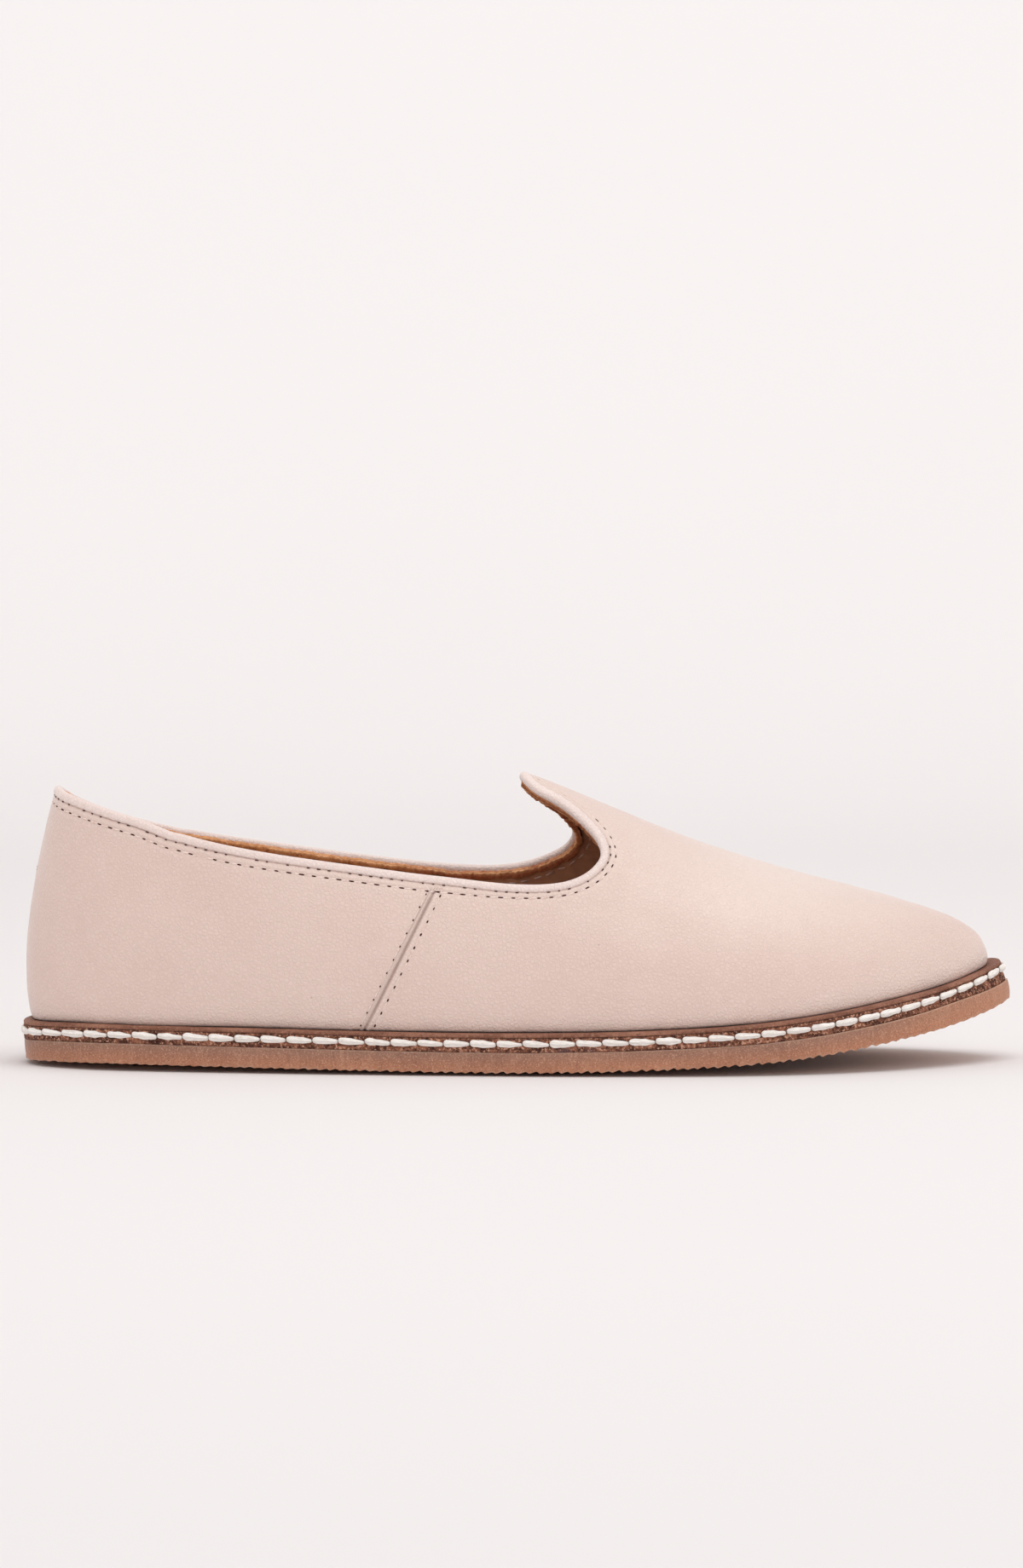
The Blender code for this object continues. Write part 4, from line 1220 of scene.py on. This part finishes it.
def build_side_sewing():
    """Side seams: a row each side of the join, and a tack at the collar."""
    g = np.random.default_rng(12)
    starts, dirs, outs, lens = [], [], [], []
    holes, hdirs, houts, hlens = [], [], [], []
    tacks, tdirs, touts, tlens = [], [], [], []
    for column, q in zip((LEFT_SEAM, RIGHT_SEAM), SEAM_OFF):
        span = slice(column - 40, column + 41)
        for offset in (-1.5, 2.3):
            pts, nrm = [], []
            for r in range(len(BASE)):
                f = q[r, span]
                order = np.argsort(f)
                pts.append([np.interp(offset, f[order], SKIN_OUT[r, span, k][order]) for k in range(3)])
                nrm.append([np.interp(offset, f[order], SKIN_N[r, span, k][order]) for k in range(3)])
            pts, nrm = np.array(pts), unit(np.array(nrm))
            s = arc(pts)
            top = s[int(np.argmin(np.abs(FROM_TOP[:, column] - ROW2 - 0.9)))]
            count = int((top - 1.2) // 3.7)
            at = np.linspace(1.4, top, count + 1)
            mid = (at[1:] + at[:-1]) / 2

            def look(arr, x):
                return np.column_stack([np.interp(x, s, arr[:, k]) for k in range(3)])

            starts.append(look(pts, mid))
            dirs.append(look(pts, mid + 0.8) - look(pts, mid - 0.8))
            outs.append(look(nrm, mid))
            lens.append(np.diff(at) * 0.84)
            holes.append(look(pts, at))
            hdirs.append(look(pts, at + 0.6) - look(pts, at - 0.6))
            houts.append(look(nrm, at))
            hlens.append(np.full(len(at), 0.95 if offset > 0 else 0.62))
        r = int(np.argmin(np.abs(FROM_TOP[:, column] - 3.9)))
        c, o = SKIN_OUT[r, column], SKIN_N[r, column]
        up = unit(SKIN_OUT[r + 4, column] - SKIN_OUT[r - 4, column])
        fwd = unit(SKIN_OUT[r, column + 6] - SKIN_OUT[r, column - 6])
        for k in range(7):
            w = g.normal(size=2) * 0.35
            tacks.append(c + fwd * (0.55 * (k - 3)) + up * w[0] * 0.6 + o * (0.10 + 0.03 * k))
            tdirs.append(fwd * (0.35 + w[1]) + up * (1.0 if k % 2 else -0.7))
            touts.append(o)
            tlens.append(2.4 + 0.4 * g.uniform())
    cat = np.concatenate
    stitches("side_thread", cat(starts) - unit(cat(outs)) * 0.05, cat(dirs), cat(outs), cat(lens),
             0.30, 0.30, PINK_THREAD, sink=0.30, bow=0.12)
    # dark beads of painted shade at the needle holes
    stitches("side_hole_shade", cat(holes) - unit(cat(houts)) * 0.02, cat(hdirs), cat(houts), cat(hlens),
             0.60, 0.16, HOLE_SHADE, sink=0.45, rings=5)
    stitches("side_tacks", np.array(tacks), np.array(tdirs), np.array(touts), np.array(tlens),
             0.34, 0.34, PINK_THREAD, sink=0.2)


def build_heel_tack():
    """Small chevron of thread across the back seam."""
    r = int(np.argmin(np.abs(BASE[:, 0, 2] - 52.6)))
    c, o = SKIN_OUT[r, 0], SKIN_N[r, 0]
    up = unit(SKIN_OUT[r + 4, 0] - SKIN_OUT[r - 4, 0])
    side = unit(SKIN_OUT[r, 6] - SKIN_OUT[r, COLS - 6])
    centre, dirs = [], []
    for sign in (-1, 1):
        for k in range(2):
            centre.append(c + side * sign * 1.25 + up * (0.35 - 0.75 * k) + o * 0.12)
            dirs.append(side * sign + up * 0.55)
    stitches("heel_tack", np.array(centre), np.array(dirs), np.tile(o, (4, 1)), 2.6, 0.42, 0.4,
             TACK_THREAD, sink=0.2)


# -------------------------------------------------------------------- sole
SIDE_N = 960               # sections on each side of the sole
V = np.linspace(0, 2, 2 * SIDE_N, endpoint=False)


def mixed_inset(low, high, f, x):
    return inset(low, x) * (1 - f) + inset(high, x) * f


def edge_ring(v, low, high, f, extra):
    p = outline(v)
    return p - outline_normal(v) * (mixed_inset(low, high, f, p[:, 0]) + extra)[:, None]


def cap(loop_start, n):
    """Strips that close a ring of n points, joining its two sides."""
    half = n // 2
    i = np.arange(1, half - 1)
    quads = np.stack([i, i + 1, n - i - 1, n - i], axis=-1) + loop_start
    tris = np.array([[0, 1, n - 1], [half - 1, half, half + 1]]) + loop_start
    return quads, tris


def across_grid(ring_pts, count, height):
    """Points between the two sides of a ring, row by row, ends left out."""
    n = len(ring_pts)
    half = n // 2
    i = np.arange(1, half)
    w = np.linspace(0, 1, count + 2)[1:-1]
    a, b = ring_pts[i], ring_pts[n - i]
    p = a[:, None] + (b - a)[:, None] * w[None, :, None]
    p[..., 2] = height(p[..., 0], np.minimum(w, 1 - w)[None] *
                       np.linalg.norm((b - a)[:, :2], axis=1)[:, None])
    return p


def rib_cap(start, n, count, base):
    """Faces between a ring and the grid of points across it."""
    half = n // 2
    i = np.arange(half - 1)
    ids = np.concatenate([(start + 1 + i)[:, None], base + i[:, None] * count + np.arange(count),
                          (start + n - 1 - i)[:, None]], axis=1)
    quads = np.stack([ids[:-1, :-1], ids[1:, :-1], ids[1:, 1:], ids[:-1, 1:]],
                     axis=-1).reshape(-1, 4)
    first = np.stack([np.full(count + 1, start), ids[0, :-1], ids[0, 1:]], axis=-1)
    last = np.stack([np.full(count + 1, start + half), ids[-1, 1:], ids[-1, :-1]], axis=-1)
    return quads, np.vstack([first, last])


TOOTH = 2.8                # spacing of the tread's ribs
TOOTH_DEEP = 0.6


def tooth(x):
    """Slanted ribs across the tread, shallow at the heel."""
    f = np.mod(x / TOOTH + 0.12 * np.sin(x * 0.21), 1.0)
    deep = TOOTH_DEEP * (0.45 + 0.55 * smooth(x, 30, 150)) * (1 + 0.25 * np.sin(x * 0.83))
    deep = deep * (1 - 0.55 * smooth(x, 226, 250))
    return deep * np.where(f < 0.68, f / 0.68, (1 - f) / 0.32)


def rubber_top(x):
    """Height of the rubber's upper edge; it thins at the tip of the toe."""
    return rim_z(x) + RUBBER - 0.9 * smooth(x, 250, 268)


def tread_height(x, depth):
    """Underside: level with its rim along a border, then down to the floor."""
    rise = smooth(depth, TREAD_BORDER, TREAD_BORDER + 6.0)
    rim = rim_z(x)
    k = smooth(x, TREAD_FLAT_END, TREAD_FLAT_END + 35.0)
    crown = rim_z(TREAD_FLAT_END) * (1 - k) + TOE_CROWN * k
    low = np.where(x <= TREAD_FLAT_END, 0.0, np.maximum(rim - crown, 0.0))
    return low + (rim - low) * (1 - rise)


def build_outsole():
    """Gum rubber: ribbed tread running out at the edge, brushed side, cement line, painted highlight along the
    bottom edge.
    """
    g = np.random.default_rng(2)
    x0 = outline(V)[:, 0]
    wave = ripple(np.column_stack([outline(V), np.zeros(len(V))]), 13, 6) * 0.05
    jag = np.convolve(np.tile(g.normal(size=len(V)), 3), np.ones(5) / 5, "same")[len(V):2 * len(V)]
    rows = []
    fields = {"low": [], "toe": [], "glue_and_highlight": []}
    toe = smooth(x0, 215, 268)

    def add(low, high, f, extra, z, warm, glue_and_highlight):
        p = edge_ring(V, low, high, f, extra)
        rows.append(np.column_stack([p, z(p[:, 0])]))
        fields["low"].append(np.full(len(V), warm))
        fields["toe"].append(toe)
        fields["glue_and_highlight"].append(np.broadcast_to(glue_and_highlight, (len(V),)))

    def lip(x):
        return rim_z(x) - 0.7 * smooth(x, 235, 268)

    add("tread", "tread", 0, 0.5, lambda x: lip(x) + tooth(x), 1.0, 0)
    # a jagged line of painted highlight along the bottom edge, on the tooth edges
    torn = np.clip(0.55 + 0.6 * jag, 0, 1)
    add("tread", "rubber_low", 0.85, 0.10 - wave, lambda x: lip(x) + tooth(x) + 0.02, 1.0, 0.7 * torn)
    add("tread", "rubber_low", 0.95, -wave, lambda x: lip(x) + tooth(x) + 0.16 + 0.05 * jag, 1.0, torn)
    add("tread", "rubber_low", 0.98, -wave, lambda x: lip(x) + tooth(x) + 0.34, 1.0, 0.35 * torn)
    add("tread", "rubber_low", 1.00, -wave, lambda x: lip(x) + 1.05 + 0.35 * tooth(x), 0.95, 0)
    for f in (0.0, 0.2, 0.4, 0.6, 0.8, 0.94):
        add("rubber_low", "rubber_top", f, -wave - 0.08 * math.sin(math.pi * f),
            lambda x, f=f: (rim_z(x) + 1.3) * (1 - f) + rubber_top(x) * f, 0.9 - 0.9 * f, 0.0)
    # a lighter cement line along the top
    add("rubber_top", "rubber_top", 1, 0.02 - wave, lambda x: rubber_top(x) + 0.10, 0.0, 0.6)
    add("rubber_top", "rubber_top", 1, 0.25, lambda x: rubber_top(x) + 0.20, 0.0, 0.9)
    add("rubber_top", "rubber_top", 1, 7.0, lambda x: rubber_top(x) + 0.05, 0.0, 0.0)
    n = len(V)
    grid = np.array(rows)
    count = 26
    under = across_grid(rows[0], count, lambda x, d: np.minimum(tread_height(x, d), lip(x)) + tooth(x))
    verts = np.vstack([grid.reshape(-1, 3), under.reshape(-1, 3)])
    q, t = rib_cap(0, n, count, len(rows) * n)
    tq, tt = cap((len(rows) - 1) * n, n)
    m = len(under.reshape(-1, 3))
    fields = {k: np.concatenate([np.array(v).ravel(),
                                 np.full(m, 1.0) if k == "low" else np.zeros(m)])
              for k, v in fields.items()}
    fields["toe"][-m:] = smooth(under[..., 0].ravel(), 215, 268)
    quads = [grid_faces(len(rows), n), q[:, ::-1], tq]
    piece("outsole_rubber", verts, [np.vstack(quads), np.vstack([t[:, ::-1], tt])], RUBBER_MAT,
          "outsole", fields)


CORD_Z = 0.47              # welt cord's height between rubber and welt top


def build_midsole():
    """Raw leather midsole: fibrous edge, a smooth lip, a rounded welt."""
    g = np.random.default_rng(9)
    n = len(V)
    base = np.column_stack([outline(V), np.zeros(n)])
    rows = []
    fields = {"lip": [], "groove_shade": [], "smudge": []}
    x0 = outline(V)[:, 0]
    near = V < 1
    smudge = near * (0.75 * bell(x0, 146.6, 1.6) + 0.5 * bell(x0, 153.6, 1.2))

    def jag(size, amp):
        w = np.convolve(np.tile(g.normal(size=n), 3), np.hanning(size + 2)[1:-1], "same")[n:2 * n]
        return amp * w / w.std()

    def low_z(x):
        return rubber_top(x) + 0.12

    def add(f, extra, z, lip, groove_shade, dirt=0.0):
        p = edge_ring(V, "leather_low", "leather_high", f, extra)
        x, high = p[:, 0], z(p[:, 0])
        share = np.clip((high - low_z(x)) / (welt_z(x) - low_z(x)), 0, 1)
        # the welt turns up a little on the inner side of the toe's tip
        high = high + 1.2 * share * smooth(x, 248, 264) * smooth(p[:, 1], 4, 17)
        rows.append(np.column_stack([p, high]))
        fields["lip"].append(np.full(n, lip))
        fields["groove_shade"].append(np.broadcast_to(groove_shade, (n,)))
        fields["smudge"].append(smudge * dirt)

    wave = ripple(base, 17, 15) * 0.05
    add(0, 7.0, lambda x: low_z(x), 0, 0)
    # painted shade at the join with the rubber
    add(0, 0.35, lambda x: low_z(x), 0, 0.8)
    for f in np.linspace(0.03, 0.97, 11):
        rough = wave + jag(5, 0.05) + jag(15, 0.04)
        hollow = 0.22 * bell(f, CORD_Z * 1.25, 0.22)
        add(f * 0.8, rough + hollow, lambda x, f=f: low_z(x) + (welt_z(x) - 1.25 - low_z(x)) * f,
            0, 0.45 * bell(f, 0.0, 0.05), bell(f, 0.12, 0.2))
    crease = inset("feather", x0) - inset("leather_high", x0)
    # painted shade along the line under the lip, and further up in the crease under the upper
    add(0.80, 0.10 + wave, lambda x: welt_z(x) - 1.22, 0.0, 0.4)
    add(0.82, 0.30 + wave, lambda x: welt_z(x) - 1.12, 0.3, 0.75)
    add(0.84, 0.06 + wave, lambda x: welt_z(x) - 1.0, 1.0, 0.15)
    add(0.90, 0.00 + wave, lambda x: welt_z(x) - 0.75, 1.0, 0.0)
    add(1.00, 0.03 + wave, lambda x: welt_z(x) - 0.42, 1.0, 0.0)
    add(1.00, 0.22 + wave, lambda x: welt_z(x) - 0.16, 1.0, 0.0)
    add(1.00, 0.62 + wave, lambda x: welt_z(x) - 0.02, 1.0, 0.0)
    add(1.00, crease - 1.2, lambda x: welt_z(x) + 0.02, 1.0, 0.0)
    add(1.00, crease - 0.4, lambda x: welt_z(x) + 0.02, 0.9, 0.1)
    add(1.00, crease + 0.2, lambda x: welt_z(x), 0.6, 0.8)
    add(1.00, 9.0, lambda x: welt_z(x) - 0.02, 0.3, 0.8)
    grid = np.array(rows)
    bq, bt = cap(0, n)
    tq, tt = cap((len(rows) - 1) * n, n)
    piece("midsole_leather", grid,
          [np.vstack([grid_faces(len(rows), n), bq[:, ::-1], tq]), np.vstack([bt[:, ::-1], tt])],
          LEATHER, "midsole", {k: np.array(v) for k, v in fields.items()})


CORD_PITCH = 7.0           # welt stitch spacing
CORD_AT = 132.1            # one stitch is centred here on the outer side


def build_welt_cord():
    """Hand-sewn white cord: flat grains, each tail under the next one's head."""
    g = np.random.default_rng(44)
    v = np.linspace(0, 2, 8000, endpoint=False)

    def line(vv):
        p = outline(vv)
        x = p[:, 0]
        q = p - outline_normal(vv) * (mixed_inset("leather_low", "leather_high", 0.45, x))[:, None]
        lo = rubber_top(q[:, 0]) + 0.12
        share = CORD_Z + 0.16 * smooth(x, 232, 268) + 0.08 * smooth(x, 258, 269)
        return np.column_stack([q, lo + (welt_z(q[:, 0]) - lo) * share])

    path = line(v)
    s = arc(np.vstack([path, path[:1]]))
    total = s[-1]
    n = round(total / CORD_PITCH)
    pitch = total / n
    start = s[int(np.argmin(np.abs(path[:4000, 0] - CORD_AT)))]
    centre = np.mod(start + np.arange(n) * pitch, total)
    rings, sides = 22, 14
    u, ang, quads, tris = bead(rings, sides)
    t = np.concatenate([[0.0], u, [1.0]])
    verts, along_f, around_f, number_f, end_shade_f = [], [], [], [], []
    closed = np.vstack([path, path[:1]])
    vv = np.append(v, 2.0)
    for i in range(n):
        long = pitch * g.uniform(1.00, 1.05)
        tall = g.uniform(0.92, 1.08)
        slant = g.uniform(0.10, 0.34)
        taper = g.uniform(0.22, 0.52)
        toeward = smooth(np.interp(centre[i], s, closed[:, 0]), 190, 240)
        slant *= 1 - 0.7 * toeward
        taper *= 1 - 0.45 * toeward
        lumps = g.normal(size=6) * 0.035
        lo_first = centre[i] - long * 0.49 + t * long
        at = np.mod(lo_first, total)
        p = np.column_stack([np.interp(at, s, closed[:, k]) for k in range(3)])
        vn = np.interp(at, s, vv)
        o = np.column_stack([outline_normal(vn), np.zeros(len(t))])
        # the grain runs forward on the outer side and round the toe
        head = np.sqrt(np.clip(1 - (1 - np.clip(t / 0.20, 0, 1)) ** 2, 0, 1))
        tail = np.sqrt(np.clip(1 - (np.clip(t - 0.86, 0, 1) / 0.14) ** 2, 0, 1))
        body = (1 - taper * smooth(t, 0.45, 1.0)) * head * tail
        body *= 1 + sum(lumps[k] * np.sin((k + 2) * 2.6 * t + lumps[-k] * 60) for k in range(5))
        half = 0.93 * tall * body
        thick = 0.62 * (0.25 + 0.75 * body) * head * tail
        rise = slant * (0.9 - 1.8 * t)
        stand = 0.22 - 0.26 * smooth(t, 0.6, 1.0) - 0.10 * (1 - head)
        for k in range(len(t)):
            a = ang if 0 < k < len(t) - 1 else np.zeros(1)
            ca, sa = np.cos(a), np.sin(a)
            ridged = 1 + 0.035 * np.cos(5 * a + i + 2.0 * t[k])
            q = p[k] + o[k] * (stand[k] + thick[k] * ca * ridged)[:, None]
            q = q + np.array([0, 0, 1.0]) * (rise[k] + half[k] * np.sign(sa) * np.abs(sa) ** 0.85 * ridged)[:, None]
            verts.append(q)
            along_f.append(np.full(len(a), t[k] * long))
            around_f.append(a / (2 * math.pi) * 2.2)
            number_f.append(np.full(len(a), i * 1.37))
            # painted shade at both ends of the grain
            end_shade_f.append(np.full(len(a), 0.75 * (1 - smooth(np.array(t[k]), 0.0, 0.05))
                                  + 0.65 * smooth(np.array(t[k]), 0.94, 1.0)))
    verts = np.concatenate(verts)
    m = rings * sides + 2
    move = (np.arange(n) * m)[:, None, None]
    piece("welt_cord", verts, [(quads[None] + move).reshape(-1, 4), (tris[None] + move).reshape(-1, 3)],
          COTTON, fields={"along": np.concatenate(along_f), "around": np.concatenate(around_f),
                                     "number": np.concatenate(number_f), "deep": np.concatenate(end_shade_f)})


def build_insole():
    """Sock: a thin leather bed, dished under heel and ball, with a soft edge."""
    v = np.linspace(0, 2, 480, endpoint=False)
    n = len(v)
    rows = []

    def add(extra, lift):
        p = ring("insole", v, extra)
        rows.append(np.column_stack([p, welt_z(p[:, 0]) + GAP + lift]))

    add(8.0, 0.0)
    add(0.0, 0.0)
    add(-0.6, 0.9)
    add(-0.5, 1.7)
    add(0.1, 2.3)
    add(1.4, INSOLE)
    grid = np.array(rows)
    count = 30

    def bed(x, d):
        dish = 0.45 * bell(x, 34, 24) + 0.55 * bell(x, 182, 34)
        return welt_z(x) + GAP + INSOLE - dish * smooth(d, 1, 16)

    top = across_grid(rows[-1], count, bed)
    verts = np.vstack([grid.reshape(-1, 3), top.reshape(-1, 3)])
    q, t = rib_cap((len(rows) - 1) * n, n, count, len(rows) * n)
    bq, bt = cap(0, n)
    piece("insole_sock", verts, [np.vstack([grid_faces(len(rows), n), q, bq[:, ::-1]]),
                                 np.vstack([t, bt[:, ::-1]])], SOCK, "insole")


build_upper()
_face, _face_n, _face_top = build_lining()
build_roll()
build_raw_band()
build_collar_sewing(_face, _face_n, _face_top)
build_side_sewing()
build_heel_tack()
build_outsole()
build_midsole()
build_welt_cord()
build_insole()


# ------------------------------------------------------------------- stage
def build_floor():
    """Pale seamless floor that curves up far behind the shoe."""
    s = Shader("pale_paper", Specular_IOR_Level=0.05)
    col = s.mix(s.noise(3, 2), lin(238, 235, 235), lin(236, 233, 233))
    s.put(s.bsdf.inputs["Emission Color"],
          s.mix(s.span(s.field("far"), 0.0, 1.0), (0, 0, 0, 1), (1.0, 0.972, 0.948, 1)))
    s.bsdf.inputs["Emission Strength"].default_value = BACK_GLOW
    mat = s.finish(col, 0.95)
    bend, start = 1.2, 1.2
    line = [(-2.5, 0.0), (-0.6, 0.0), (0.1, 0.0), (0.5, 0.0), (0.9, 0.0), (start, 0.0)]
    line += [(start + bend * math.sin(t), bend * (1 - math.cos(t))) for t in np.linspace(0.1, math.pi / 2, 14)]
    line += [(start + bend, z) for z in (1.6, 2.4, 4.0)]
    verts = [(x, y, z - 0.0001) for y, z in line for x in (-4.0, 4.0)]
    faces = [(2 * i, 2 * i + 1, 2 * i + 3, 2 * i + 2) for i in range(len(line) - 1)]
    mesh = bpy.data.meshes.new("floor")
    mesh.from_pydata(verts, [], faces)
    mesh.shade_smooth()
    mesh.materials.append(mat)
    attr = mesh.attributes.new("far", "FLOAT", "POINT")
    far = [float(smooth(np.array(y), 0.2, 2.2)) for y, z in line for _ in (0, 1)]
    attr.data.foreach_set("value", far)
    obj = bpy.data.objects.new("floor", mesh)
    bpy.context.scene.collection.objects.link(obj)


def light(name, place, aim, size, power, colour=(1, 1, 1)):
    lamp = bpy.data.lights.new(name, "AREA")
    lamp.shape = "RECTANGLE"
    lamp.size, lamp.size_y = size
    lamp.energy = power
    lamp.color = colour
    obj = bpy.data.objects.new(name, lamp)
    obj.location = place
    d = np.array(aim, float) - np.array(place, float)
    d /= np.linalg.norm(d)
    obj.rotation_euler = (math.acos(-d[2]), 0.0, math.atan2(-d[0], d[1]))
    bpy.context.scene.collection.objects.link(obj)
    return obj


BACK_GLOW = 0.15
build_floor()
light("softbox_top", (0.25, -0.32, 1.7), (0, 0, 0.03), (1.5, 1.2), 12.5, (1.0, 0.985, 0.97))
light("softbox_front", (0.8, -2.2, 0.85), (0, 0, 0.04), (1.8, 1.2), 1.4, (1.0, 0.985, 0.97))

# soft surroundings, brighter towards the horizon than overhead
world = bpy.data.worlds.new("studio")
world.use_nodes = True
_tree = world.node_tree
_sky = _tree.nodes["Background"]
_sky.inputs["Color"].default_value = (1.0, 0.988, 0.98, 1.0)
_where = _tree.nodes.new("ShaderNodeTexCoord")
_split = _tree.nodes.new("ShaderNodeSeparateXYZ")
_fade = _tree.nodes.new("ShaderNodeMapRange")
for _key, _value in (("From Min", 0.0), ("From Max", 0.7), ("To Min", 1.26), ("To Max", 0.6)):
    _fade.inputs[_key].default_value = _value
_tree.links.new(_where.outputs["Generated"], _split.inputs[0])
_tree.links.new(_split.outputs["Z"], _fade.inputs["Value"])
_tree.links.new(_fade.outputs["Result"], _sky.inputs["Strength"])
bpy.context.scene.world = world

scene = bpy.context.scene
scene.view_settings.view_transform = "Standard"
scene.view_settings.look = "None"
scene.view_settings.exposure = 0.0

cam = bpy.data.cameras.new("camera")
cam.sensor_width = 36.0
cam.lens = 134.9
cam.clip_end = 50.0
eye = bpy.data.objects.new("camera", cam)
eye.location = (-0.0018, -1.5989, 0.154)
eye.rotation_euler = (math.radians(90), 0.0, 0.0)
cam.shift_y = -0.18435
scene.collection.objects.link(eye)
scene.camera = eye
